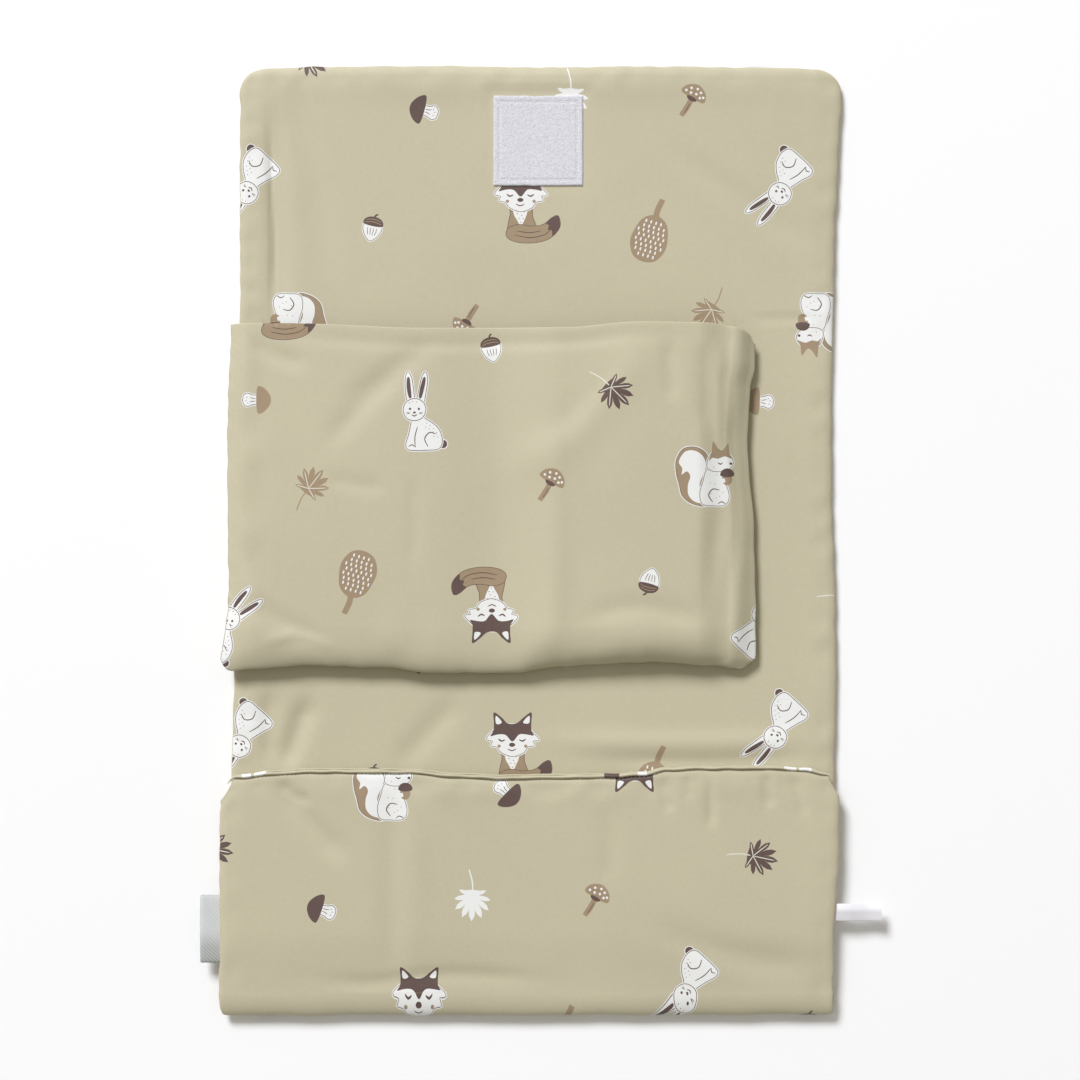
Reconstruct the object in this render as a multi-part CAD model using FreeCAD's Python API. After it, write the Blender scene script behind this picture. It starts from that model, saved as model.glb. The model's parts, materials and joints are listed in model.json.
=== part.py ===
import FreeCAD, Part
import os

# A travel changing mat, laid open: one padded rectangle, with its foot end folded up over itself as a flap,
# a flat bag sewn to its left edge as a pouch, and a hook-and-loop closure for the folded clutch.
# Millimetres. X to the right, Y towards the head end, Z up. The underside lies on z = 0, and the origin is
# at the middle of the mat's underside.

V = FreeCAD.Vector

# Driving dimensions: the padded mat
MAT_WIDTH = 350.0
MAT_LENGTH_FOLDED = 548.0
MAT_THICK = 6.0
COVER_THICK = 0.8
FIT_GAP = 0.2
HEAD_CORNER = 14.0
BODY_GAP = 0.3

# The end flap: the foot end, folded up over the mat
FLAP_LENGTH = 140.5
FLAP_OVERHANG_LEFT = 8.0
FLAP_CORNER = 12.0
BAND_WIDTH = 3.5
BAND_THICK = 0.4
STITCH_LENGTH = 3.0
STITCH_PITCH = 5.0
STITCH_WIDTH = 0.5
STITCH_THICK = 0.3
STITCH_FROM_BAND = 2.0

# The pouch: a two-layer bag, open towards the head end
POUCH_LEFT = -181.0
POUCH_RIGHT = 128.0
POUCH_FOOT = -75.0
POUCH_MOUTH = 122.0
POUCH_LOFT = 22.0
POUCH_WALL = 0.8
POUCH_SLOPE = 36.0
HEM_WIDTH = 8.0
HEM_THICK = 0.5
SEAM_TAPE_THICK = 0.8

# The fold lines. Each spine is as wide as what it folds around.
HEAD_FOLD = 127.0
FOOT_FOLD = -77.5
FOLD_ROOM = 2.0
PATCH_THICK = 1.2
CLOSED_CLEARANCE = 0.6

# The closure patches
PATCH_SIDE = 52.0
PATCH_X = 1.0
PATCH_Y = 231.0
PATCH_CORNER = 1.5
PATCH_STITCH_INSET = 3.0

# The labels: a folded ribbon loop at the left seam and a single care tape at the right seam
RIBBON_Y = -225.0
RIBBON_LENGTH = 39.0
RIBBON_REACH = 11.0
RIBBON_THICK = 1.2
RIBBON_SLOT = 0.4
CARE_Y = -215.5
CARE_WIDTH = 10.0
CARE_REACH = 24.0
CARE_THICK = 0.4
LABEL_GAP = 0.8

# Worked out from these
MAT_LEFT = -MAT_WIDTH / 2
MAT_RIGHT = MAT_WIDTH / 2
HEAD_END = MAT_LENGTH_FOLDED / 2
FOOT_END = -MAT_LENGTH_FOLDED / 2
HALF_GAP = BODY_GAP / 2
FOOT_SPINE = POUCH_LOFT + MAT_THICK + FOLD_ROOM
HEAD_SPINE = FOOT_SPINE + MAT_THICK + PATCH_THICK + CLOSED_CLEARANCE
FOOT_PANEL_START = FOOT_FOLD - FOOT_SPINE
HEAD_PANEL_START = HEAD_FOLD + HEAD_SPINE
FLAP_BOTTOM = MAT_THICK + BODY_GAP
FLAP_TOP = FLAP_BOTTOM + MAT_THICK
FLAP_LEFT = MAT_LEFT - FLAP_OVERHANG_LEFT
FLAP_FREE_EDGE = FOOT_END + FLAP_LENGTH
POUCH_BOTTOM = MAT_THICK + BODY_GAP
POUCH_TOP = POUCH_BOTTOM + POUCH_LOFT
HOOK_PATCH_Y = 2 * FOOT_FOLD - FOOT_SPINE - (2 * HEAD_FOLD + HEAD_SPINE - PATCH_Y)


def slab(x0, x1, y0, y1, z0, z1, head_radius=0.0, all_radius=0.0):
    """A flat block, with its head-end corners rounded, or all four."""
    block = Part.makeBox(x1 - x0, y1 - y0, z1 - z0, V(x0, y0, z0))
    radius = max(head_radius, all_radius)
    if radius <= 0:
        return block
    upright = [e for e in block.Edges if abs(e.BoundBox.ZLength - (z1 - z0)) < 1e-6]
    if not all_radius:
        upright = [e for e in upright if e.BoundBox.YMin > (y0 + y1) / 2]
    return block.makeFillet(radius, upright)


def shrink(limits, sides, amount):
    """The limits of a panel drawn in by an amount on its sewn sides, and past its fold lines on the others."""
    x0, x1, y0, y1 = limits
    foot_step = amount if "foot" in sides else -amount
    head_step = amount if "head" in sides else -amount
    return x0 + amount, x1 - amount, y0 + foot_step, y1 - head_step


def padded_panel(name, limits, bottom, head_radius=0.0, pocket=None, turned=False):
    """Top cover, wadding and back cover of one stretch of the mat. A turned stretch lies back cover up."""
    sewn = ["head"] if head_radius else []
    top = bottom + MAT_THICK
    seam = bottom + MAT_THICK / 2
    outer = dict(head_radius=head_radius)
    inner = dict(head_radius=max(head_radius - COVER_THICK, 0.0))
    filling = dict(head_radius=max(head_radius - COVER_THICK - FIT_GAP, 0.0))

    hollow = shrink(limits, sewn, COVER_THICK)
    upper = slab(*limits, seam, top, **outer)
    upper = upper.cut(slab(*hollow, seam - COVER_THICK, top - COVER_THICK, **inner))
    lower = slab(*limits, bottom, seam, **outer)
    lower = lower.cut(slab(*hollow, bottom + COVER_THICK, seam + COVER_THICK, **inner))

    x0, x1, y0, y1 = shrink(limits, sewn, COVER_THICK + FIT_GAP)
    space = (x0, x1, max(y0, limits[2]), min(y1, limits[3]))
    wadding = slab(*space, bottom + COVER_THICK, top - COVER_THICK, **filling)

    if pocket:
        lower = lower.cut(pocket)
        wadding = wadding.cut(pocket)
    return {
        name + "_top_cover": lower if turned else upper,
        name + "_wadding": wadding,
        name + "_back_cover": upper if turned else lower,
    }


def patch(y, z0, stitched_face):
    """A square of closure tape with a groove near its edge, and the thread that lies in the groove."""
    half = PATCH_SIDE / 2
    x0, x1, y0, y1 = PATCH_X - half, PATCH_X + half, y - half, y + half
    tape = slab(x0, x1, y0, y1, z0, z0 + PATCH_THICK, all_radius=PATCH_CORNER)
    inset = PATCH_STITCH_INSET
    outer = (x0 + inset, x1 - inset, y0 + inset, y1 - inset)
    inset += STITCH_WIDTH
    inner = (x0 + inset, x1 - inset, y0 + inset, y1 - inset)
    z_thread = z0 + PATCH_THICK - STITCH_THICK if stitched_face == "top" else z0
    thread = slab(*outer, z_thread, z_thread + STITCH_THICK).cut(slab(*inner, z_thread, z_thread + STITCH_THICK))
    return tape.cut(thread), thread


def hook_pocket():
    """The hollow that the hook patch presses into the back cover, so that its face is flush with the underside."""
    half = PATCH_SIDE / 2 + FIT_GAP
    limits = (PATCH_X - half, PATCH_X + half, HOOK_PATCH_Y - half, HOOK_PATCH_Y + half)
    return slab(*limits, -FIT_GAP, PATCH_THICK + FIT_GAP)


def mat_panels():
    """The stretches of the mat, from the head end to the foot end, and the flap over the foot panel."""
    across = (MAT_LEFT, MAT_RIGHT)
    parts = {}
    parts.update(padded_panel("head_panel", (*across, HEAD_PANEL_START + HALF_GAP, HEAD_END), 0.0, HEAD_CORNER))
    parts.update(padded_panel("head_spine", (*across, HEAD_FOLD + HALF_GAP, HEAD_PANEL_START - HALF_GAP), 0.0))
    parts.update(padded_panel("centre_panel", (*across, FOOT_FOLD + HALF_GAP, HEAD_FOLD - HALF_GAP), 0.0))
    parts.update(padded_panel("foot_spine", (*across, FOOT_PANEL_START + HALF_GAP, FOOT_FOLD - HALF_GAP), 0.0))
    foot = (*across, FOOT_END + HALF_GAP, FOOT_PANEL_START - HALF_GAP)
    parts.update(padded_panel("foot_panel", foot, 0.0, pocket=hook_pocket()))
    flap = (FLAP_LEFT, MAT_RIGHT, FOOT_END + HALF_GAP, FLAP_FREE_EDGE)
    parts.update(padded_panel("end_flap", flap, FLAP_BOTTOM, FLAP_CORNER, turned=True))
    return parts


def flap_edge():
    """The rolled closing band along the flap's free edge, and the row of stitches beside it."""
    x0 = FLAP_LEFT + FLAP_CORNER
    x1 = MAT_RIGHT - FLAP_CORNER
    band = slab(x0, x1, FLAP_FREE_EDGE - BAND_WIDTH, FLAP_FREE_EDGE, FLAP_TOP, FLAP_TOP + BAND_THICK)
    y_row = FLAP_FREE_EDGE - BAND_WIDTH - STITCH_FROM_BAND
    stitches = []
    for i in range(int((x1 - x0) / STITCH_PITCH)):
        x = x0 + i * STITCH_PITCH
        limits = (x, x + STITCH_LENGTH, y_row - STITCH_WIDTH, y_row)
        stitches.append(slab(*limits, FLAP_TOP, FLAP_TOP + STITCH_THICK))
    return {"flap_edge_band": band, "flap_edge_stitching": Part.makeCompound(stitches)}


def pouch_bulge(inset, past_mouth, z0):
    """The bag's bulge: upright at the mouth, and sloping in to a flat top from its three sewn sides."""
    low = (POUCH_LEFT + inset, POUCH_RIGHT - inset, POUCH_FOOT + inset)
    high = (low[0] + POUCH_SLOPE, low[1] - POUCH_SLOPE, low[2] + POUCH_SLOPE)
    mouth = POUCH_MOUTH + past_mouth
    rings = []
    for (x0, x1, y0), z in ((low, z0), (high, POUCH_TOP - inset)):
        corners = [V(x0, y0, z), V(x1, y0, z), V(x1, mouth, z), V(x0, mouth, z)]
        rings.append(Part.makePolygon(corners + corners[:1]))
    return Part.makeLoft(rings, True, True)


def pouch():
    """The bag's two layers, the hems at its mouth, and the tape that sews its left side to the mat."""
    split = POUCH_BOTTOM + POUCH_WALL
    back = slab(POUCH_LEFT, POUCH_RIGHT, POUCH_FOOT, POUCH_MOUTH, POUCH_BOTTOM, split)
    front = pouch_bulge(0.0, 0.0, split).cut(pouch_bulge(POUCH_WALL, HEM_WIDTH, split))

    hem_y = (POUCH_MOUTH - HEM_WIDTH, POUCH_MOUTH)
    hem_x = (POUCH_LEFT + POUCH_SLOPE, POUCH_RIGHT - POUCH_SLOPE)
    front_hem = slab(*hem_x, *hem_y, POUCH_TOP, POUCH_TOP + HEM_THICK)
    back_hem = slab(*hem_x, *hem_y, split, split + HEM_THICK)

    tape_x1 = MAT_LEFT - BODY_GAP
    tape = slab(tape_x1 - SEAM_TAPE_THICK, tape_x1, POUCH_FOOT, POUCH_MOUTH, 0.0, MAT_THICK)
    return {
        "pouch_front_layer": front,
        "pouch_back_layer": back,
        "pouch_front_hem": front_hem,
        "pouch_back_hem": back_hem,
        "pouch_seam_tape": tape,
    }


def labels():
    """A blank ribbon folded into a flat loop, open at its two ends, and a blank care tape."""
    z = FLAP_BOTTOM + MAT_THICK / 2
    x1 = FLAP_LEFT - LABEL_GAP
    x0 = x1 - RIBBON_REACH
    y_limits = (RIBBON_Y - RIBBON_LENGTH / 2, RIBBON_Y + RIBBON_LENGTH / 2)
    loop = slab(x0, x1, *y_limits, z - RIBBON_THICK / 2, z + RIBBON_THICK / 2)
    slot = slab(x0 + RIBBON_THICK, x1 + RIBBON_THICK, *y_limits, z - RIBBON_SLOT / 2, z + RIBBON_SLOT / 2)
    care_x = (MAT_RIGHT + LABEL_GAP, MAT_RIGHT + LABEL_GAP + CARE_REACH)
    care_y = (CARE_Y - CARE_WIDTH / 2, CARE_Y + CARE_WIDTH / 2)
    care = slab(*care_x, *care_y, z - CARE_THICK / 2, z + CARE_THICK / 2)
    return {"ribbon_label": loop.cut(slot), "care_label": care}


def closure():
    """The loop patch on the head panel, and the hook patch that meets it, let into the foot panel's back."""
    loop_tape, loop_thread = patch(PATCH_Y, MAT_THICK, "top")
    hook_tape, hook_thread = patch(HOOK_PATCH_Y, 0.0, "bottom")
    return {
        "loop_patch": loop_tape,
        "loop_patch_stitching": loop_thread,
        "hook_patch": hook_tape,
        "hook_patch_stitching": hook_thread,
    }


def main():
    os.makedirs("parts", exist_ok=True)
    nodes = {}
    for group in (mat_panels(), flap_edge(), pouch(), labels(), closure()):
        nodes.update(group)
    for name, shape in nodes.items():
        shape.exportStep("parts/" + name + ".step")
    print(len(nodes), "nodes")


main()
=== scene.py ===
import json
import math
from functools import partial

import bpy
import numpy as np
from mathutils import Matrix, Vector
from mathutils.geometry import delaunay_2d_cdt


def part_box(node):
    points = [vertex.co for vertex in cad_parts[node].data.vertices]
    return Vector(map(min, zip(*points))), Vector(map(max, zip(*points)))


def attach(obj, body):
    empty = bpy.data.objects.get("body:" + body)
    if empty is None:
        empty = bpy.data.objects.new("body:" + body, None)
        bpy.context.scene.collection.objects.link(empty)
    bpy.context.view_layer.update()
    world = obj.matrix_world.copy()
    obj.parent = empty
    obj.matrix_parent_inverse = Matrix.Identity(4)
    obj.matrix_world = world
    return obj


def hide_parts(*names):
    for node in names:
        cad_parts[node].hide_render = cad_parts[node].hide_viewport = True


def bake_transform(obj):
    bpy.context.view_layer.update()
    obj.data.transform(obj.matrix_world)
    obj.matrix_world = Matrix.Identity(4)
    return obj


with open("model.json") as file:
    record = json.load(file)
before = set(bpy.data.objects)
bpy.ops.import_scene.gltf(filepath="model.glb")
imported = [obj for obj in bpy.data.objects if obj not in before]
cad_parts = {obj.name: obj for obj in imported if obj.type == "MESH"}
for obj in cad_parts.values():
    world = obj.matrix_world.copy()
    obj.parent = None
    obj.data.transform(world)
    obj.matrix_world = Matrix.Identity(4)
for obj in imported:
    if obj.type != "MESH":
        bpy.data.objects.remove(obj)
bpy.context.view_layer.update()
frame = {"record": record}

# A travel changing mat in printed, coated fabric, laid open. Lengths here are in millimetres, in the frame's
# own axes, and become metres when a mesh is made. A surface is a function that turns flat cloth coordinates
# (u, v) into places, so that its grid and the print on it always agree.

MM = 0.001
JOINTS = {j["name"]: j for j in frame["record"]["behaviour"]["joints"]}

# How the padding and the seams look
SEAM_ROUND = 8.0             # how far in from a sewn edge the padding reaches its full thickness
HEAD_CORNER = 15.0
FLAP_CORNER = 11.0
GRID = 2.4                   # the spacing of the finished grid, away from its edges
EDGE_STEPS = (0.0, 0.5, 1.3, 2.5, 4.2, 6.4, 9.0)
FOLD_REACH = 12.0            # how far from the foot fold the fold strip reaches
CREASE = 0.06                # half the room left between the two layers in the foot fold's crease
FOLD_PINCH = 1.6             # how far the cover wraps past the fold's axis
DROOP = 1.6                  # how far the flap's upper side sinks towards its fold
DROOP_FROM = 36.0
SLIT = 2.4                   # how far in from the flap's free edge the slit below its closing band is
SLIT_DEPTH = 0.45
SLIT_WIDTH = 0.65

# The pouch
POUCH_CORNER = 8.0
HEM_ROLL = 0.5
HEM_INSIDE = 8.0

# Cloth simulation: run ten times larger than life, because the solver's contact distances are coarse
SIM_SCALE = 0.01
SIM_GRID = 5.0
SOLID_GRID = 8.0             # the grid of the solid that the cloth settles on
SIM_FRAMES = 45
CONTACT = 0.5

# The print
REPEAT = (306.0, 319.0)      # how far apart the same drawing comes again, across and along
SAME_DRAWING = 40.0          # a drawing this near to one that is seen is the seen one
DRAWING_REACH = 30.0         # no drawing reaches further than this from its middle
FABRIC, CREAM, WHITE, TAN, BROWN = range(5)   # the inks, in the order of the cover's materials

# Meshes
JOIN = 0.01                  # points nearer than this become one
CELL_MARGIN = 0.03           # how far an outline stays inside its block of grid cells
LEAST_AREA = 0.02            # an outline smaller than this is left out


# ---------------------------------------------------------------- the frame, in millimetres

def span(node):
    """A CAD node's lowest and highest corners."""
    low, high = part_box(node)
    return np.array(low) / MM, np.array(high) / MM


def pivot(joint):
    return np.array(JOINTS[joint]["pos_m"]) / MM


MAT_LEFT, _, MAT_BASE = span("centre_panel_back_cover")[0]
MAT_RIGHT, _, MAT_TOP = span("centre_panel_top_cover")[1]
MAT_SEAM = (MAT_BASE + MAT_TOP) / 2
HEAD_END = span("head_panel_top_cover")[1][1]
FOLD_Y, FOLD_Z = pivot("end_flap_fold")[1:]
FOLD_ROW = FOLD_Y + FOLD_REACH
FLAP_LEFT = span("end_flap_back_cover")[0][0]
FLAP_RIGHT, FLAP_EDGE, FLAP_TOP = span("end_flap_back_cover")[1]
FLAP_BASE = span("end_flap_top_cover")[0][2]
POUCH_LEFT, POUCH_FOOT, POUCH_BASE = span("pouch_back_layer")[0]
POUCH_RIGHT, POUCH_MOUTH, _ = span("pouch_front_layer")[1]
POUCH_HINGE_Z = pivot("pouch_turn")[2]
HEAD_FOLD = pivot("head_spine_fold")[1]
HEAD_START = pivot("head_panel_fold")[1]
FOOT_FOLD = pivot("foot_spine_fold")[1]
FOOT_START = pivot("foot_panel_fold")[1]
HEAD_SPLIT = (HEAD_FOLD + HEAD_START) / 2
FOOT_SPLIT = (FOOT_FOLD + FOOT_START) / 2
CENTRE_SPLIT = (HEAD_FOLD + FOOT_FOLD) / 2


# ---------------------------------------------------------------- small tools

def ease(t):
    t = np.clip(t, 0.0, 1.0)
    return t * t * (3 - 2 * t)


def course(points, at):
    """A smooth line through given (place, value) points, level beyond its ends."""
    places = np.array([p[0] for p in points], float)
    values = np.array([p[1] for p in points], float)
    at = np.asarray(at, float)
    i = np.clip(np.searchsorted(places, at) - 1, 0, len(places) - 2)
    t = ease((at - places[i]) / (places[i + 1] - places[i]))
    return values[i] * (1 - t) + values[i + 1] * t


def ripple(x, y, wavelength, seed):
    """Smooth unevenness of about -1 to 1, the same on every run."""
    draw = np.random.default_rng(seed)
    total = 0.0
    waves = 7
    for _ in range(waves):
        angle = draw.uniform(0, 2 * math.pi)
        length = wavelength * draw.uniform(0.7, 1.7)
        phase = draw.uniform(0, 2 * math.pi)
        total = total + np.sin((x * math.cos(angle) + y * math.sin(angle)) * 2 * math.pi / length + phase)
    return total / math.sqrt(waves * 2)


def smooth_line(points, closed=False, step=1.0):
    """Points along a rounded line through a few given ones."""
    p = np.array(points, float)
    n = len(p)
    out = []
    for i in range(n if closed else n - 1):
        if closed:
            a, b, c, d = p[i - 1], p[i], p[(i + 1) % n], p[(i + 2) % n]
        else:
            a, b, c, d = p[max(i - 1, 0)], p[i], p[i + 1], p[min(i + 2, n - 1)]
        count = max(2, int(np.linalg.norm(c - b) / step))
        t = np.arange(count)[:, None] / count
        out.append(0.5 * (2 * b + (c - a) * t + (2 * a - 5 * b + 4 * c - d) * t ** 2
                          + (3 * b - 3 * c + d - a) * t ** 3))
    if not closed:
        out.append(p[-1:])
    return np.concatenate(out)


def unit(vectors):
    return vectors / np.maximum(np.linalg.norm(vectors, axis=-1, keepdims=True), 1e-12)


def lengths_along(line):
    return np.concatenate([[0], np.cumsum(np.linalg.norm(np.diff(line, axis=0), axis=1))])


def pad_curve(distance, width, power=3.1):
    """How full a padded edge is: 0 at the seam, upright there, and 1 from width inwards."""
    s = np.clip(distance / width, 0.0, 1.0)
    return (1 - (1 - s) ** power) ** (1 / power)


def lines(low, high, tight_low=True, tight_high=True):
    """Grid lines from low to high, close together at a sewn edge."""
    edge = np.array(EDGE_STEPS)
    start = low + edge if tight_low else np.array([low])
    end = (high - edge)[::-1] if tight_high else np.array([high])
    count = max(2, int(round((end[0] - start[-1]) / GRID)) + 1)
    middle = np.linspace(start[-1], end[0], count)[1:-1]
    return np.concatenate([start, middle, end])


class Field:
    """Values on an even grid, read between its points by cubic interpolation."""

    def __init__(self, us, vs, values):
        self.u0, self.v0 = us[0], vs[0]
        self.du, self.dv = us[1] - us[0], vs[1] - vs[0]
        self.values = np.asarray(values, float)

    def __call__(self, u, v):
        rows, cols = self.values.shape[:2]
        a = np.clip((np.asarray(u) - self.u0) / self.du, 0, cols - 1)
        b = np.clip((np.asarray(v) - self.v0) / self.dv, 0, rows - 1)
        i, j = np.floor(a).astype(int), np.floor(b).astype(int)
        wu, wv = self.weights(a - i), self.weights(b - j)
        extra = (None,) * (self.values.ndim - 2)
        total = 0.0
        for q in range(4):
            row = np.clip(j + q - 1, 0, rows - 1)
            for p in range(4):
                col = np.clip(i + p - 1, 0, cols - 1)
                total = total + (wu[p] * wv[q])[(...,) + extra] * self.values[row, col]
        return total

    @staticmethod
    def weights(t):
        return (
            ((-t + 2) * t - 1) * t / 2,
            ((3 * t - 5) * t * t + 2) / 2,
            ((-3 * t + 4) * t + 1) * t / 2,
            (t - 1) * t * t / 2,
        )


def soft_folds(x, y, folds):
    """The height that soft folds add. Each is (points, height, width, lean): a ridge, or a hollow if its
    height is negative. Lean makes one flank steep and the other long."""
    total = np.zeros(np.shape(x))
    for points, height, width, lean in folds:
        line = smooth_line(points, step=8.0)
        a, b = line[:-1], line[1:]
        along = lengths_along(line)
        best = np.full(np.shape(x), 1e9)
        side = np.zeros(np.shape(x))
        place = np.zeros(np.shape(x))
        for k in range(len(a)):
            d = b[k] - a[k]
            length = float(d @ d) or 1.0
            t = np.clip(((x - a[k][0]) * d[0] + (y - a[k][1]) * d[1]) / length, 0, 1)
            dx, dy = x - a[k][0] - t * d[0], y - a[k][1] - t * d[1]
            distance = np.hypot(dx, dy)
            nearer = distance < best
            best = np.where(nearer, distance, best)
            side = np.where(nearer, np.sign(d[0] * dy - d[1] * dx), side)
            place = np.where(nearer, along[k] + t * (along[k + 1] - along[k]), place)
        share = place / along[-1]
        fade = ease(share / 0.3) * ease((1 - share) / 0.3) * 0.9 + 0.1
        q = best * side / width
        total = total + height * fade * np.exp(-q * q) * (1 + lean * q)
    return total


# ---------------------------------------------------------------- cloth simulation

def new_object(name, data):
    obj = bpy.data.objects.new(name, data)
    bpy.context.scene.collection.objects.link(obj)
    return obj


def grid_faces(rows, cols):
    index = np.arange(rows * cols).reshape(rows, cols)
    corners = (index[:-1, :-1], index[:-1, 1:], index[1:, 1:], index[1:, :-1])
    return np.stack([c.ravel() for c in corners], axis=1)


def drop_object(obj):
    mesh = obj.data
    bpy.data.objects.remove(obj)
    bpy.data.meshes.remove(mesh)


def settle(places, pinned, solid, growth, stiffness):
    """Lets a grid of cloth, cut a little too large, settle over a solid, and says where it came to rest."""
    rows, cols = places.shape[:2]
    mesh = bpy.data.meshes.new("settling_cloth")
    mesh.from_pydata((places.reshape(-1, 3) * SIM_SCALE).tolist(), [], grid_faces(rows, cols).tolist())
    cloth = new_object("settling_cloth", mesh)
    group = cloth.vertex_groups.new(name="sewn")
    group.add([int(i) for i in np.flatnonzero(pinned.ravel())], 1.0, "REPLACE")
    body_mesh = bpy.data.meshes.new("settling_solid")
    body_mesh.from_pydata((solid[0] * SIM_SCALE).tolist(), [], solid[1].tolist())
    body = new_object("settling_solid", body_mesh)
    body.modifiers.new("Collision", "COLLISION")
    body.collision.thickness_outer = CONTACT * SIM_SCALE
    body.collision.cloth_friction = 3
    solver = cloth.modifiers.new("Cloth", "CLOTH")
    cloth_settings = solver.settings
    cloth_settings.quality = 8
    cloth_settings.mass = 0.25
    cloth_settings.tension_stiffness = cloth_settings.compression_stiffness = 20
    cloth_settings.shear_stiffness = 8
    cloth_settings.bending_stiffness = stiffness
    cloth_settings.tension_damping = cloth_settings.compression_damping = 6
    cloth_settings.air_damping = 2
    cloth_settings.shrink_min = -growth
    cloth_settings.vertex_group_mass = "sewn"
    cloth_settings.pin_stiffness = 1
    solver.collision_settings.collision_quality = 3
    solver.collision_settings.distance_min = CONTACT * SIM_SCALE
    solver.point_cache.frame_start = 1
    solver.point_cache.frame_end = SIM_FRAMES
    scene = bpy.context.scene
    for number in range(1, SIM_FRAMES + 1):
        scene.frame_set(number)
    settled = cloth.evaluated_get(bpy.context.evaluated_depsgraph_get()).to_mesh()
    flat = np.zeros(rows * cols * 3, np.float32)
    settled.vertices.foreach_get("co", flat)
    drop_object(cloth)
    drop_object(body)
    scene.frame_set(1)
    return flat.reshape(rows, cols, 3).astype(float) / SIM_SCALE


def even_grid(u0, u1, v0, v1, step=SIM_GRID):
    us = np.linspace(u0, u1, int(round((u1 - u0) / step)) + 1)
    vs = np.linspace(v0, v1, int(round((v1 - v0) / step)) + 1)
    return us, vs, *np.meshgrid(us, vs)


def settled_relief(surface, limits, sewn, drop, growth, stiffness):
    """How a settled cloth differs from the smooth surface that it started on, as a Field of offsets. It
    settles on that surface lowered by drop, and is held where it reaches the sewn limits."""
    us, vs, u, v = even_grid(*limits)
    start = surface(u, v)
    _, _, solid_u, solid_v = even_grid(*limits, SOLID_GRID)
    below = (surface(solid_u, solid_v) - np.array([0.0, 0.0, drop])).reshape(-1, 3)
    held = (u <= sewn[0]) | (u >= sewn[1]) | (v <= sewn[2]) | (v >= sewn[3])
    rest = settle(start, held, (below, grid_faces(*solid_u.shape)), growth, stiffness)
    return Field(us, vs, rest - start)


# ---------------------------------------------------------------- the mat's shape

# Where the left, right and end seams really run, each as (place along the seam, position)
MAT_COURSES = (
    (
        (-274, -182), (-262, -180), (-200, -179), (-139, -177.3), (-78, -175.8), (-40, -175), (30, -173.5),
        (130, -172.3), (261, -172.3),
    ),
    (
        (-274, 172), (-262, 171), (-139, 172.8), (-78, 173.9), (-35, 173.4), (26, 171.4), (85, 171.0),
        (105, 171.6), (180, 173.1), (209, 174.9), (261, 177.2),
    ),
    ((-172, 273.6), (-120, 275.0), (-60, 275.3), (0, 274.6), (60, 275.2), (130, 274.4), (176, 273.2)),
)
FLAP_COURSES = (
    ((-274, -182), (-262, -184), (-230, -183.4), (-190, -183.8), (-148, -183)),
    ((-274, 172), (-261, 171.4), (-235, 172), (-200, 173.7), (-191, 175), (-148, 175.2)),
    (
        (-184, -144), (-174, -136.2), (-150, -133.9), (-130, -132.6), (-75, -133.0), (-45, -135.6),
        (-20, -136.8), (14, -136.4), (44, -136.0), (62, -134.6), (76, -131.6), (95, -130.8), (135, -130.6),
        (155, -131.8), (168, -134.6), (176, -141),
    ),
)
SIDE_REACH = 45.0            # how far in from a side its course is felt


def square_to_round(u, v, corner, sides, radius):
    """Squeezes one corner of a rectangle round."""
    a = np.clip(sides[0] * (u - corner[0]) / radius + 1, 0, 1.5)
    b = np.clip(sides[1] * (v - corner[1]) / radius + 1, 0, 1.5)
    inside = (a > 0) & (b > 0)
    ra = a * np.sqrt(np.maximum(1 - np.minimum(b, 1) ** 2 / 2, 0))
    rb = b * np.sqrt(np.maximum(1 - np.minimum(a, 1) ** 2 / 2, 0))
    x = np.where(inside, corner[0] + sides[0] * radius * (ra - 1), u)
    y = np.where(inside, corner[1] + sides[1] * radius * (rb - 1), v)
    return x, y


def puckers(along, seed):
    """The small gathers that a sewn edge draws into the cloth beside it."""
    return ripple(along, 0 * along, 15.0, seed)


def side_shift(u, v, left_course, right_course, left, right, seed):
    """How far the sides' real lines move a point across."""
    near_left = ease(1 - (u - left) / SIDE_REACH)
    near_right = ease(1 - (right - u) / SIDE_REACH)
    wobble_left = 0.35 * puckers(v, seed) * np.exp(-np.maximum(u - left, 0) / 5)
    wobble_right = 0.35 * puckers(v, seed + 1) * np.exp(-np.maximum(right - u, 0) / 5)
    return ((course(left_course, v) - left) * near_left + (course(right_course, v) - right) * near_right
            + wobble_left + wobble_right)


def gathers(u, v, left, right, end, seed):
    """How deep the gathers dip the padding beside the seams."""
    total = 0.0
    for inward, along, key in ((u - left, v, 0), (right - u, v, 1), (end - v, u, 2)):
        band = np.exp(-((inward - 7) / 5.5) ** 2)
        total = total + band * (0.5 + 0.5 * puckers(along, seed + key)) * 0.55
    return total


def fold_sweep(v):
    """How far round the foot fold a point nearer to it than the fold strip's edge is: 0 to a half."""
    return np.arcsin(np.clip((FOLD_ROW - v) / FOLD_REACH, 0, 1)) / math.pi


MAT_RELIEF = None            # filled in below, once the cloth has settled
FLAP_RELIEF = None


def padded_outline(u, v, left, right, end, corner, courses, seed, end_pucker):
    """Where a padded layer's sewn edges move its points to, and how full its padding is there."""
    x, y = square_to_round(u, v, (left, end), (-1, 1), corner)
    x, y = square_to_round(x, y, (right, end), (1, 1), corner)
    x = x + side_shift(u, v, courses[0], courses[1], left, right, seed)
    y = y + (course(courses[2], u) - end + end_pucker * puckers(u, seed + 2)) * ease(1 - (end - v) / 30)
    full = pad_curve(u - left, SEAM_ROUND) * pad_curve(right - u, SEAM_ROUND) * pad_curve(end - v, SEAM_ROUND)
    return x, y, full


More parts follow.
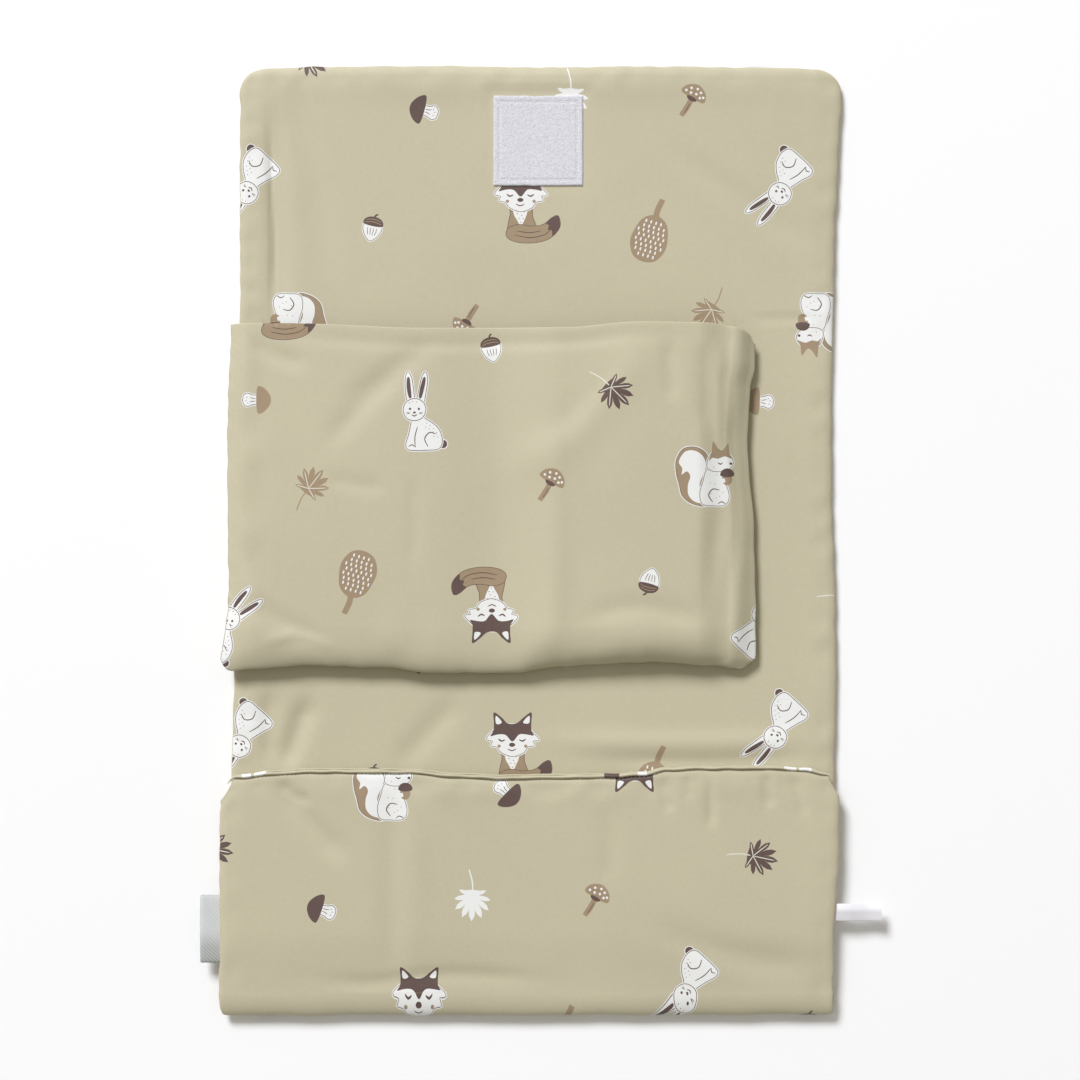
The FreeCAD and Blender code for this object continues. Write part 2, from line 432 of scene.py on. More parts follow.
def mat_place(u, v, upper):
    """The mat's upper or lower side."""
    x, y, full = padded_outline(u, v, MAT_LEFT, MAT_RIGHT, HEAD_END, HEAD_CORNER, MAT_COURSES, 11, 0.3)
    sweep = fold_sweep(v)
    seam = FOLD_Z - CREASE * ease(4 * sweep) + (MAT_SEAM - FOLD_Z) * np.cos(math.pi * sweep)
    if upper:
        face = MAT_TOP + (FOLD_Z - CREASE - MAT_TOP) * ease(2 * sweep)
        dips = gathers(u, v, MAT_LEFT, MAT_RIGHT, HEAD_END, 21)
        z = seam + (face - seam) * full - dips * full * (sweep <= 0)
    else:
        z = seam + (MAT_BASE - seam) * full + hook_recess(u, v)
    place = np.stack([x, y, z], -1)
    if upper and MAT_RELIEF:
        place = place + MAT_RELIEF(u, v) * full[..., None]
    return place


def flap_place(u, v, upper):
    """The folded-up flap: its upper side is the mat's back cover, and its lower side the top cover."""
    x, y, full = padded_outline(u, v, FLAP_LEFT, FLAP_RIGHT, FLAP_EDGE, FLAP_CORNER, FLAP_COURSES, 31, 0.2)
    sweep = fold_sweep(v)
    middle = (FLAP_BASE + FLAP_TOP) / 2
    seam = FOLD_Z + CREASE * ease(4 * sweep) + (middle - FOLD_Z) * np.cos(math.pi * sweep)
    if upper:
        sink = DROOP * ease(1 - (v - FOLD_ROW) / DROOP_FROM)
        slit = SLIT_DEPTH * np.exp(-((FLAP_EDGE - v - SLIT) / SLIT_WIDTH) ** 2)
        along_slit = 0.5 * np.exp(-((FLAP_EDGE - v - 10) / 6) ** 2) * puckers(u * 0.6, 45)
        face = FLAP_TOP - sink - slit + along_slit - gathers(u, v, FLAP_LEFT, FLAP_RIGHT, FLAP_EDGE, 41)
    else:
        face = FLAP_BASE + (FOLD_Z + CREASE - FLAP_BASE) * ease(2 * sweep)
    place = np.stack([x, y, seam + (face - seam) * full], -1)
    if upper and FLAP_RELIEF:
        place = place + FLAP_RELIEF(u, v) * full[..., None]
    return place


mat_top, mat_back = partial(mat_place, upper=True), partial(mat_place, upper=False)
flap_top, flap_back = partial(flap_place, upper=True), partial(flap_place, upper=False)


def fold_place(t, s):
    """The strip of cover that goes round the foot fold. t runs across and s round, both 0 to 1."""
    width = MAT_RIGHT - MAT_LEFT
    low = mat_back(MAT_LEFT + t * width, FOLD_ROW + 0 * t)
    high = flap_top(FLAP_LEFT + t * (FLAP_RIGHT - FLAP_LEFT), FOLD_ROW + 0 * t)
    across = t * width
    full = pad_curve(across, SEAM_ROUND) * pad_curve(width - across, SEAM_ROUND)
    share = ((1 - np.cos(math.pi * s)) / 2)[..., None]
    place = low + (high - low) * share
    bulge = 0.35 * ripple(t * 340, 0 * t, 34, 53) + 0.5 * (0.5 - t)
    reach = FOLD_REACH + (FOLD_PINCH + bulge) * full
    place[..., 1] = FOLD_ROW - reach * np.sin(math.pi * s)
    return place


# The hook patch is let into the underside, so that the mat lies flat on it
HOOK_LOW, HOOK_HIGH = span("hook_patch")
LOOP_LOW, LOOP_HIGH = span("loop_patch")


def hook_recess(u, v):
    inward = np.minimum(np.minimum(u - HOOK_LOW[0], HOOK_HIGH[0] - u),
                        np.minimum(v - HOOK_LOW[1], HOOK_HIGH[1] - v))
    return (HOOK_HIGH[2] - 0.1) * ease(1 + (inward - 1) / 7)


# ---------------------------------------------------------------- the pouch's shape

POUCH_COURSES = (
    ((-80, -184), (-70, -182.5), (-55, -180), (-35, -177.8), (60, -178.4), (122, -176.4)),
    ((-75, 123.5), (-68, 127), (-40, 127), (0, 126), (60, 122), (87, 123.6), (105, 126.4), (122, 126.8)),
    (
        (-183, -75), (-176, -75.8), (-151, -73.8), (-137, -72.4), (-91, -73.8), (-56, -77), (-11, -77),
        (14, -73), (63, -70.8), (100, -72.5), (125, -75),
    ),
    (
        (-178, 124), (-150, 123.4), (-62, 120), (14, 120), (60, 123.6), (98, 123.4), (112, 121.8),
        (119, 120.3), (124, 118.3), (127.5, 113),
    ),
)
SEAM_LIFT_LEFT, SEAM_LIFT_RIGHT = POUCH_HINGE_Z, 11.5
# How high the pouch stands across its width: lower over the left half, higher over the right
POUCH_STANDS = (
    (-181, 19.5), (-150, 21.0), (-60, 21.5), (-25, 20.0), (15, 25.2), (60, 26.4), (92, 25.8), (112, 20.5),
    (128, 15.0),
)
POUCH_RELIEF = None


def pouch_outline(u, v):
    left, right, foot, mouth = POUCH_COURSES
    x, y = square_to_round(u, v, (POUCH_LEFT, POUCH_FOOT), (-1, -1), POUCH_CORNER)
    x, y = square_to_round(x, y, (POUCH_RIGHT, POUCH_FOOT), (1, -1), POUCH_CORNER)
    x = x + side_shift(u, v, left, right, POUCH_LEFT, POUCH_RIGHT, 61)
    y = y + (course(foot, u) - POUCH_FOOT + 0.35 * puckers(u, 63)) * ease(1 - (v - POUCH_FOOT) / 40)
    y = y + (course(mouth, u) - POUCH_MOUTH) * ease(1 - (POUCH_MOUTH - v) / 40)
    return x, y


def pouch_seam_height(u):
    share = np.clip((u - POUCH_LEFT) / (POUCH_RIGHT - POUCH_LEFT), 0, 1)
    return SEAM_LIFT_LEFT + (SEAM_LIFT_RIGHT - SEAM_LIFT_LEFT) * share


def pouch_fill(u, v, widths):
    """How full the pouch is: 0 at its left, right and foot seams, and 1 from these widths inwards."""
    left, right, foot = widths
    return (pad_curve(u - POUCH_LEFT, left, 2.0) * pad_curve(POUCH_RIGHT - u, right, 2.0)
            * pad_curve(v - POUCH_FOOT, foot, 2.0))


def pouch_front_place(u, v):
    x, y = pouch_outline(u, v)
    seam = pouch_seam_height(u)
    full = pouch_fill(u, v, (20.0, 14.0, 26.0))
    place = np.stack([x, y, seam + (course(POUCH_STANDS, u) - seam) * full], -1)
    if POUCH_RELIEF:
        place = place + POUCH_RELIEF(u, v)
    return place


def pouch_back_place(u, v):
    x, y = pouch_outline(u, v)
    seam = pouch_seam_height(u)
    full = pouch_fill(u, v, (13.0, 13.0, 13.0))
    y = y - 1.5 * ease(1 - (POUCH_MOUTH - v) / 30) * full
    return np.stack([x, y, seam + (POUCH_BASE + 0.7 - seam) * full], -1)


def surface_normal(place, u, v, limits):
    """Which way a surface faces, upwards for one that lies level, measured just inside its edges."""
    u0, u1, v0, v1 = limits
    e = 0.1
    u, v = np.clip(u, u0 + e, u1 - e), np.clip(v, v0 + e, v1 - e)
    return unit(np.cross(place(u + e, v) - place(u - e, v), place(u, v + e) - place(u, v - e)))


def hemmed(place, mouth, limits):
    """Turns a sheet's far edge inwards: beyond the mouth, the cloth rolls round and runs back underneath."""
    roll = math.pi * HEM_ROLL

    def with_hem(u, v):
        over = v - mouth
        back = np.where(over > roll, mouth - (over - roll), mouth)
        flat = np.minimum(v, back)
        normal = surface_normal(place, u, flat, limits)
        angle = np.clip(over / HEM_ROLL, 0, math.pi)[..., None]
        ahead = np.array([0.0, 1.0, 0.0])
        turned = place(u, flat) + HEM_ROLL * np.sin(angle) * ahead - HEM_ROLL * (1 - np.cos(angle)) * normal
        return np.where((over > 0)[..., None], turned, place(u, np.minimum(v, mouth)))

    return with_hem


# ---------------------------------------------------------------- the print
# A woodland print of my own: plain animals, leaves, nuts and mushrooms. Each is a list of (ink, outline),
# painted in order, in millimetres about its own middle with its top upwards.

def area_of(p):
    return (p[:, 0] * np.roll(p[:, 1], -1) - p[:, 1] * np.roll(p[:, 0], -1)).sum() / 2


def blob(*points):
    return smooth_line(points, closed=True, step=1.1)


def oval(x, y, rx, ry, turn=0.0):
    count = max(8, int(4 + 2.2 * (rx + ry)))
    t = np.linspace(0, 2 * math.pi, count, endpoint=False)
    a = math.radians(turn)
    px, py = rx * np.cos(t), ry * np.sin(t)
    return np.stack([x + px * math.cos(a) - py * math.sin(a), y + px * math.sin(a) + py * math.cos(a)], 1)


def stroke(width, *points, tip=0.4):
    """A line with a width, slimmer at its ends."""
    line = smooth_line(points, step=0.9)
    ahead = unit(np.gradient(line, axis=0))
    across = np.stack([-ahead[:, 1], ahead[:, 0]], 1)
    t = np.linspace(0, 1, len(line))
    half = 0.6 * width * (tip + (1 - tip) * np.sin(math.pi * t) ** 0.5)[:, None]
    return np.concatenate([line + across * half, (line - across * half)[::-1]])


def mark(width, *points, tip=0.4):
    return BROWN, stroke(width, *points, tip=tip)


def grown(points, by):
    """An outline moved outwards."""
    if area_of(points) < 0:
        points = points[::-1]
    ahead = np.roll(points, -1, 0) - np.roll(points, 1, 0)
    return points + by * unit(np.stack([ahead[:, 1], -ahead[:, 0]], 1))


def lined(ink, points, by=0.42, halo=0.5):
    """A shape with a thin dark line round it, and a pale edge outside that."""
    around = [(WHITE, grown(points, by + halo))] if halo else []
    return around + [(BROWN, grown(points, by)), (ink, points)]


def dots(ink, radius, *places):
    return [(ink, oval(x, y, radius, radius)) for x, y in places]


def draw_rabbit():
    ear = blob((-9.6, 4), (-11.2, 11), (-11.4, 18), (-10, 22.6), (-7.8, 19), (-6.6, 12), (-6, 4))
    ear_2 = blob((-4.4, 4), (-3, 12), (-1.4, 19), (0.8, 22.4), (2, 18.2), (1, 11), (-0.6, 4))
    body = blob((-6.6, -2), (-8, -8), (-9.4, -14), (-11, -19), (-10, -22), (-5, -22.6), (2, -22.4),
        (9, -21.6), (11, -17), (9.2, -11), (5, -7), (0.6, -4.4), (-1.6, -1))
    head = blob((-12.6, 0.6), (-10.8, 5), (-5.8, 7), (-1, 5.2), (0.9, 1), (-1, -3.6), (-5.8, -5.4),
        (-10.6, -4))
    art = [(WHITE, oval(11.4, -19, 3.3, 3.0)), (BROWN, oval(11.4, -19, 2.8, 2.5))]
    for shape in (ear, ear_2, body):
        art += lined(WHITE, shape)
    art += [mark(2.1, (-8.3, 7), (-9.4, 13), (-9.7, 19.6), tip=0.2), mark(2.1, (-2.6, 7), (-1.2, 13),
        (0.4, 19.6), tip=0.2)]
    art += lined(WHITE, head)
    art += [mark(0.55, (2.4, -20.6), (0.4, -16), (3.4, -12.4), (7.4, -13.4)),
        mark(0.5, (-5.4, -21), (-5.6, -15), (-4, -9)), mark(0.5, (-9.6, -20.6), (-7.4, -19.4), (-5.6, -20.8)),
        mark(0.55, (-7.6, -2), (-6, -3), (-4.2, -2))]
    for side in (-1, 1):
        for rise in (-0.7, 0.5):
            art.append(mark(0.32, (-5.9 + side * 2.6, -1.2), (-5.9 + side * 5.2, -1.2 + rise)))
    art += dots(BROWN, 0.75, (-8.6, 1.2), (-3.2, 1.2)) + [(BROWN, oval(-5.9, -0.9, 0.9, 0.65))]
    art += dots(BROWN, 0.28, (1.5, -7), (3.6, -8.4), (5.8, -10), (3.2, -10.4), (7.6, -12.6), (1, -9.4),
        (5.6, -12.2), (8.4, -15), (6, -14.8), (-9, 4.6), (-7, 5.4), (-4.6, 5.2))
    return art


def draw_fox():
    tail = blob((-10, -15), (-10.6, -20), (-5, -23), (5, -23.4), (14, -20.6), (19.4, -14), (18.6, -7.4),
        (15.4, -8.2), (10, -12.6), (3, -13.6), (-4, -12.6))
    tip = blob((19.4, -14), (18.6, -7.4), (15.2, -8.4), (11.4, -11.6), (13.4, -13), (12.6, -15.6), (15, -16),
        (15.4, -19.4))
    body = blob((-8.4, 0), (-8.6, -6), (-9.8, -12), (-9.6, -16), (-2, -17), (5.6, -15), (4, -8), (2.4, 0))
    chest = blob((-6.6, -1), (-6.8, -6), (-4.6, -10.4), (-2.8, -13.6), (-0.8, -10), (0.8, -5.6), (0.6, -1))
    head = blob((-17.6, 6), (-14, 10.6), (-8.6, 14), (-3, 14.6), (3.6, 13.4), (8.6, 9.8), (12.4, 5.4),
        (8.8, 4.8), (10, 2), (6, 1.2), (3.4, -2.4), (-3, -4.6), (-9, -2.2), (-11.6, 1), (-15.2, 2),
        (-14, 4.6))
    mask = blob((-15.4, 7.6), (-13.6, 11), (-13.4, 16), (-13.4, 22), (-8.6, 18.6), (-5.6, 15.4), (-0.6, 15.4),
        (3.4, 18.8), (8, 22), (8, 16), (8, 11), (9.4, 8), (5.6, 8.6), (1, 8.6), (-2.8, 4.4), (-6.8, 8.4),
        (-11.4, 8.6))
    art = lined(TAN, body, 0.34, 0.0) + [(WHITE, chest)] + lined(TAN, tail, 0.34, 0.0) + [(BROWN, tip)]
    art += [mark(0.45, (-6, -19), (2, -20.4), (10, -19), (14.4, -15.6)),
        mark(0.45, (-5, -16.4), (2, -17.4), (8.6, -16.4))]
    art += lined(WHITE, head, 0.34) + [(BROWN, mask)]
    art += [(WHITE, blob((-12, 15), (-12.2, 20), (-8.8, 16))), (WHITE, blob((6.6, 15.4), (6.8, 20),
        (3.2, 16)))]
    art += [mark(0.8, (-10.8, 6), (-9, 4.6), (-7, 5.6)), mark(0.8, (1, 5.6), (3, 4.6), (4.8, 6)),
        (BROWN, oval(-3, 2.4, 1.8, 1.3)), mark(0.55, (-5.6, 0), (-3, -1.2), (-0.6, 0))]
    art += dots(TAN, 1.0, (-10.4, 1.6), (4.8, 1.6))
    art += dots(TAN, 0.36, (-4.8, -6), (-2.2, -7), (-3.8, -8.8), (-1.4, -9), (-2.8, -11.2), (-0.6, -4.8),
        (-5, -4.2))
    return art


def draw_squirrel():
    tail = blob((0, -17.4), (-6, -17), (-10, -13), (-10.4, -7), (-9, -2), (-11, 1), (-14, -1), (-13.6, 2.6),
        (-15.6, 6.6), (-12, 12.4), (-6.4, 13), (-1.6, 9.6), (0, 4), (-1.6, -1), (-3.6, -6), (-3, -11))
    tail_edge = blob((0, -18.6), (-7.6, -18), (-13.4, -13.6), (-15.4, -6.4), (-17, 0), (-17, 7.4), (-13, 14),
        (-6, 15), (0, 11.4), (2, 4.4), (0.4, -2), (-1.4, -8))
    body = blob((1, 2), (-1.6, -5), (-3.4, -12), (-2, -18), (4, -19), (11, -18.6), (13.4, -14), (11.8, -7),
        (9.6, -1), (9.4, 3))
    head = blob((0.6, 4), (2.6, 10.6), (8, 13), (13.4, 11), (16, 6.4), (13.6, 2.6), (8, 1), (3, 1.6))
    cap = blob((1.6, 7), (3.4, 12.4), (4.2, 18.6), (7.2, 14.4), (10, 13.6), (13, 17.4), (13.8, 11.6),
        (15.4, 8.4), (11, 9.8), (7, 8.4), (3.8, 9))
    art = lined(TAN, tail_edge, 0.28) + [(WHITE, tail)]
    art += lined(WHITE, body, 0.34) + lined(WHITE, head, 0.34) + [(TAN, cap)]
    art += [mark(0.6, (7, 6.2), (8.4, 5.2), (9.8, 6)), (BROWN, oval(14.6, 5.6, 0.9, 0.8)),
        mark(0.55, (4, -17), (1.6, -13), (4, -9.4), (8, -10)), mark(0.5, (7, -18.2), (9, -16.8), (11.6, -18))]
    art += [(TAN, oval(12.4, -3.6, 3.0, 3.6)), (BROWN, blob((8.4, -1.4), (9.6, 1.8), (12.6, 2.8), (15.6, 1.6),
        (16.6, -1.4), (12.5, -2.4))), (WHITE, stroke(2.2, (4.4, -2.4), (8, -4.6), (11.2, -4.2), tip=0.8))]
    art += dots(TAN, 0.3, (3, -12), (5.4, -6.4), (2.4, -6), (8, -13.6), (10, -11.4), (6, -14.6), (4.6, 3.6),
        (6.4, -1))
    return art


def draw_acorn():
    nut = blob((-5.4, 2), (-5.2, -3.4), (-2.6, -7.2), (0, -9), (2.6, -7.2), (5.2, -3.4), (5.4, 2))
    cap = blob((-6.6, 2.2), (-5.6, 5.6), (-2, 7.4), (2, 7.4), (5.6, 5.6), (6.6, 2.2), (3, 1.2), (-3, 1.2))
    art = lined(WHITE, nut, 0.38) + [(BROWN, cap), mark(1.0, (0, 7), (0.6, 8.6), (2, 9.6), tip=0.8)]
    art += [(TAN, stroke(0.45, (-5, 4.6), (-2, 5.6), (2, 5.6), (5, 4.6))),
        (TAN, stroke(0.45, (-5.6, 3), (-2, 3.8), (2, 3.8), (5.6, 3)))]
    for x in (-3, -1, 1, 3):
        art.append(mark(0.35, (x, 0), (x * 0.95, -2.6), (x * 0.7, -5.2)))
    return art


def draw_mushroom(cap_ink):
    cap = blob((-8.4, 0.6), (-6.6, 5), (-2, 8.2), (2.4, 8), (6.8, 4.6), (8.4, 0.6), (4, -0.6), (-4, -0.6))
    stem = blob((-2.4, 0), (-2.8, -3), (-4, -6), (-2.6, -8.6), (1.8, -8.8), (3.8, -6.4), (2.6, -3), (2.2, 0))
    art = lined(WHITE, stem, 0.38) + [(cap_ink, cap)]
    art += [mark(0.35, (-0.8, -1), (-1, -3), (-1.6, -4.6)), mark(0.35, (0.8, -1), (0.8, -3.2), (1.4, -5))]
    return art + dots(BROWN, 0.3, (-1.6, -6.6), (0.4, -7.2), (1.8, -6))


def draw_dotted():
    cap = blob((-8.4, 3.2), (-6.8, 8), (-2, 11), (2, 11), (6.8, 8), (8.4, 3.2), (4, 2), (-4, 2))
    art = [(TAN, stroke(3.0, (0, 2.4), (0.2, -4), (-0.4, -11), tip=0.75)),
        mark(0.4, (0.6, -1), (0.7, -5), (0.4, -9)), (TAN, cap), (BROWN, blob((-3.4, 2.4), (0, 3), (3.4, 2.4),
        (2.6, 0.8), (0, 0.2), (-2.6, 0.8)))]
    return art + dots(WHITE, 0.85, (-5.6, 4.8), (-3.4, 7.6), (-2.2, 4.8), (0.4, 8.9), (1.2, 5.6), (3.4, 7.8),
        (4.4, 4.6), (6.2, 5.8)) + dots(BROWN, 0.3, (-0.6, 7), (2.6, 4.2), (-4, 6))


def draw_cone():
    art = [(TAN, blob((-10, 4), (-10.2, 12), (-6.6, 20), (0, 22.6), (6.6, 20), (10.2, 12), (10, 4), (7, -6),
        (0, -10.4), (-7, -6))), (TAN, stroke(2.8, (0, -8), (0.4, -14), (-0.6, -22), tip=0.85))]
    for row in range(8):
        y = 18 - row * 3.3
        half = 9.4 * math.sqrt(max(0.0, 1 - ((y - 6.4) / 16.6) ** 2)) - 1.6
        count = int(2 * half / 2.9) + 1
        for k in range(count):
            x = (k - (count - 1) / 2) * 2.9 + (0.5 if row % 2 else -0.5)
            art.append((WHITE, stroke(0.8, (x, y + 1.1), (x, y - 1.1), tip=0.7)))
    return art


def draw_leaf(ink):
    lobes = ((112, 7.6), (78, 9.6), (50, 11.4), (24, 12.4), (0, 13.2), (-24, 12.4), (-50, 11.4), (-78, 9.6),
        (-112, 7.6))
    outline = [np.array([-1.0, -3.0])]
    art = []
    for k, (angle, length) in enumerate(lobes):
        a = math.radians(angle)
        ahead, across = np.array([-math.sin(a), math.cos(a)]), np.array([math.cos(a), math.sin(a)])
        half = 0.125 * length
        outline += [ahead * length * 0.62 - across * half, ahead * length * 0.8 - across * half * 0.85,
            ahead * length, ahead * length * 0.8 + across * half * 0.85,
            ahead * length * 0.62 + across * half]
        if k + 1 < len(lobes):
            b = math.radians((angle + lobes[k + 1][0]) / 2)
            outline.append(np.array([-math.sin(b), math.cos(b)]) * length * 0.44)
        if k % 2 == 0:
            art.append((CREAM, stroke(0.4, (0, 0),
                *[tuple(ahead * length * share) for share in (0.4, 0.85)])))
    outline.append(np.array([1.0, -3.0]))
    stem = stroke(0.55, (0, -1.5), (0.3, -7), (2.2, -13.5), tip=0.8)
    if ink == WHITE:
        return [(WHITE, np.array(outline)), (WHITE, stem)]
    return [(ink, np.array(outline)), *art, (CREAM if ink == BROWN else TAN, stem)]


def extent(art):
    """The lowest and highest corners of a drawing."""
    everything = np.concatenate([points for _, points in art])
    return everything.min(0), everything.max(0)


def sized(art, wide, tall):
    """A drawing stretched to its printed size, about its middle."""
    low, high = extent(art)
    scale = np.array([wide, tall]) / (high - low)
    return [(ink, (points - (low + high) / 2) * scale) for ink, points in art]


DRAWINGS = {
    "rabbit": sized(draw_rabbit(), 26.5, 47),
    "fox": sized(draw_fox(), 39, 44),
    "squirrel": sized(draw_squirrel(), 35, 38),
    "acorn": sized(draw_acorn(), 12.4, 17),
    "cone": sized(draw_cone(), 21.5, 38),
    "brown_mushroom": sized(draw_mushroom(BROWN), 17, 17.5),
    "tan_mushroom": sized(draw_mushroom(TAN), 16, 17),
    "dotted": sized(draw_dotted(), 15.5, 20.5),
    "white_leaf": sized(draw_leaf(WHITE), 21, 30),
    "tan_leaf": sized(draw_leaf(TAN), 20, 28),
    "dark_leaf": sized(draw_leaf(BROWN), 21, 30),
}

# Where each drawing is in the repeat, and how it is turned
PRINT = (
    ("rabbit", 0, 0, 135), ("fox", 158, -19, 0), ("cone", 228, -30, 165), ("acorn", 67, -28, 0),
    ("brown_mushroom", 97, 41, 75), ("white_leaf", 182, 48, 180), ("dotted", 251, 48, -30),
    ("squirrel", 23, -84, 180), ("dotted", 120, -84, 150), ("tan_leaf", 261, -75, 145),
    ("tan_mushroom", 291, -129, 90), ("dark_leaf", 36, 72, -100), ("rabbit", 187, -126, 180),
    ("dark_leaf", 78, -139, 45), ("acorn", 148, -162, 180), ("fox", 265, -190, 180),
    ("squirrel", 129, -212, 0), ("brown_mushroom", 201, -209, -135), ("rabbit", 59, -197, 20),
)

# Where the cloth's cut, its fullness and its folds have moved some of them on each piece
SEEN = {
    "mat": (
        ("rabbit", 140.7, 205.6, 135), ("rabbit", -168.5, 206.2, 135), ("brown_mushroom", -65, 249.7, 75),
        ("white_leaf", 19.7, 258.8, 178), ("dotted", 90.5, 254.9, -30), ("acorn", -95.1, 181, -12),
        ("fox", -5.5, 194, 0), ("cone", 65.2, 179.5, 163), ("dotted", -41, 127.5, 150),
        ("tan_mushroom", 129.5, 80.5, 88), ("rabbit", 138, -109.6, 135), ("rabbit", -172.8, -114.8, 135),
        ("fox", -10.3, -122, 0), ("cone", 65.8, -137.5, 163), ("dark_leaf", 177.5, -33.6, -100),
        ("white_leaf", 18, -59.5, 176), ("dark_leaf", -134, 279, -100),
    ),
    "flap": (
        ("squirrel", -89, -143.8, 0), ("brown_mushroom", -17.1, -146.2, -135), ("fox", 53, -123.7, 180),
        ("dark_leaf", 124.7, -183.3, -102), ("dark_leaf", -190, -179, -100),
        ("white_leaf", -37.1, -205.3, 178), ("dotted", 34.5, -208.2, -30), ("brown_mushroom", -124, -213, 72),
        ("fox", -64.3, -269, 0), ("cone", 12.5, -284, 163), ("rabbit", 85.6, -258.4, 135),
        ("acorn", 158, -276.5, 0), ("acorn", -156, -279.5, 0), ("rabbit", 150, -110, 20),
        ("rabbit", -163, -113, 20),
    ),
    "pouch": (
        ("rabbit", -64.1, 74.2, 0), ("acorn", -26.1, 110.5, 12), ("dark_leaf", 42.9, 85.8, -135),
        ("squirrel", 96.6, 37.7, 0), ("dotted", 8.4, 31.6, -30), ("tan_leaf", -129, 29.6, -38),
        ("cone", -102.7, -24.4, -17), ("fox", -29.6, -37.4, 180), ("acorn", 64.7, -23.8, 165),
        ("tan_mushroom", -161.2, 80.6, -90), ("rabbit", -177, -50, -45), ("rabbit", 131.4, -47.9, -45),
        ("fox", -146, 137, 0), ("rabbit", 64, 158, 200),
    ),
}


def printed(region, start, body=None, turned=False, flip_about=None, fit=None):
    """The drawings that fall on a region of a cut piece. Start is the repeat's place on it; body names its
    SEEN places; turned is for cloth cut the other way up; flip_about is the row that the cloth is turned over
    at, for the far side of a fold; fit moves outlines to where the shape shows them."""
    u0, u1, v0, v1 = region
    seen = SEEN.get(body, ())
    sign, half_turn = (-1, 180) if turned else (1, 0)
    spots = list(seen)
    for kind, dx, dy, turn in PRINT:
        for i in range(-3, 4):
            for j in range(-3, 4):
                px = sign * (dx + i * REPEAT[0]) + start[0]
                py = sign * (dy + j * REPEAT[1]) + start[1]
                if not any(kind == k and math.hypot(px - x, py - y) < SAME_DRAWING
                           for k, x, y, _ in seen):
                    spots.append((kind, px, py, turn + half_turn))
    found = []
    for kind, px, py, angle in spots:
        if flip_about is not None:
            py = flip_about - py
        if not (-DRAWING_REACH < px - u0 < u1 - u0 + DRAWING_REACH
                and -DRAWING_REACH < py - v0 < v1 - v0 + DRAWING_REACH):
            continue
        a = math.radians(angle)
        spin = np.array([[math.cos(a), math.sin(a)], [-math.sin(a), math.cos(a)]])
        art = [(ink, points @ spin) for ink, points in DRAWINGS[kind]]
        low, high = extent(art)
        for k, (ink, points) in enumerate(art):
            placed = points - (low + high) / 2
            if flip_about is not None:
                placed = placed * (1, -1)
            placed = placed + (px, py)
            art[k] = (ink, fit(placed) if fit else placed)
        found.append(art)
    return found


def fitted(place):
    """Moves an outline so that it shows where it was drawn, although the surface shifts its cloth about."""
    def move(points):
        flat = points.copy()
        for _ in range(3):
            there = place(flat[:, 0], flat[:, 1])[..., :2]
            flat = flat + (points - there)
        return flat
    return move


def clipped(points, low, high):
    """An outline cut to a rectangle."""
    for axis in (0, 1):
        for bound, sign in ((low[axis], 1), (high[axis], -1)):
            if not len(points):
                return points
            inside = sign * (points[:, axis] - bound) >= 0
            out = []
            for k in range(len(points)):
                here, there = points[k - 1], points[k]
                if inside[k - 1] != inside[k]:
                    t = (bound - here[axis]) / (there[axis] - here[axis])
                    out.append(here + t * (there - here))
                if inside[k]:
                    out.append(there)
            points = np.array(out)
    return points


def within(outline, points):
    """Which points are inside an outline."""
    x, y = points[:, :1], points[:, 1:]
    here, there = outline, np.roll(outline, -1, 0)
    crosses = (here[:, 1] > y) != (there[:, 1] > y)
    rise = there[:, 1] - here[:, 1]
    rise[rise == 0] = 1e-12
    crosses &= x < here[:, 0] + (y - here[:, 1]) * (there[:, 0] - here[:, 0]) / rise
    return crosses.sum(1) % 2 == 1


# ---------------------------------------------------------------- meshes

def blocks_of(us, vs, drawings):
    """The rectangles of grid cells that drawings cover, merged where they meet."""
    found = []
    for art in drawings:
        low, high = extent(art)
        i0 = max(int(np.searchsorted(us, low[0], "right")) - 1, 1)
        i1 = min(int(np.searchsorted(us, high[0])), len(us) - 2)
        j0 = max(int(np.searchsorted(vs, low[1], "right")) - 1, 0)
        j1 = min(int(np.searchsorted(vs, high[1])), len(vs) - 1)
        if i1 > i0 and j1 > j0:
            found.append([i0, i1, j0, j1, list(art)])
    merged = True
    while merged:
        merged = False
        for a, b in ((a, b) for a in range(len(found)) for b in range(a + 1, len(found))):
            p, q = found[a], found[b]
            if p[0] < q[1] and q[0] < p[1] and p[2] < q[3] and q[2] < p[3]:
                found[a] = [min(p[0], q[0]), max(p[1], q[1]), min(p[2], q[2]), max(p[3], q[3]), p[4] + q[4]]
                del found[b]
                merged = True
                break
    return found


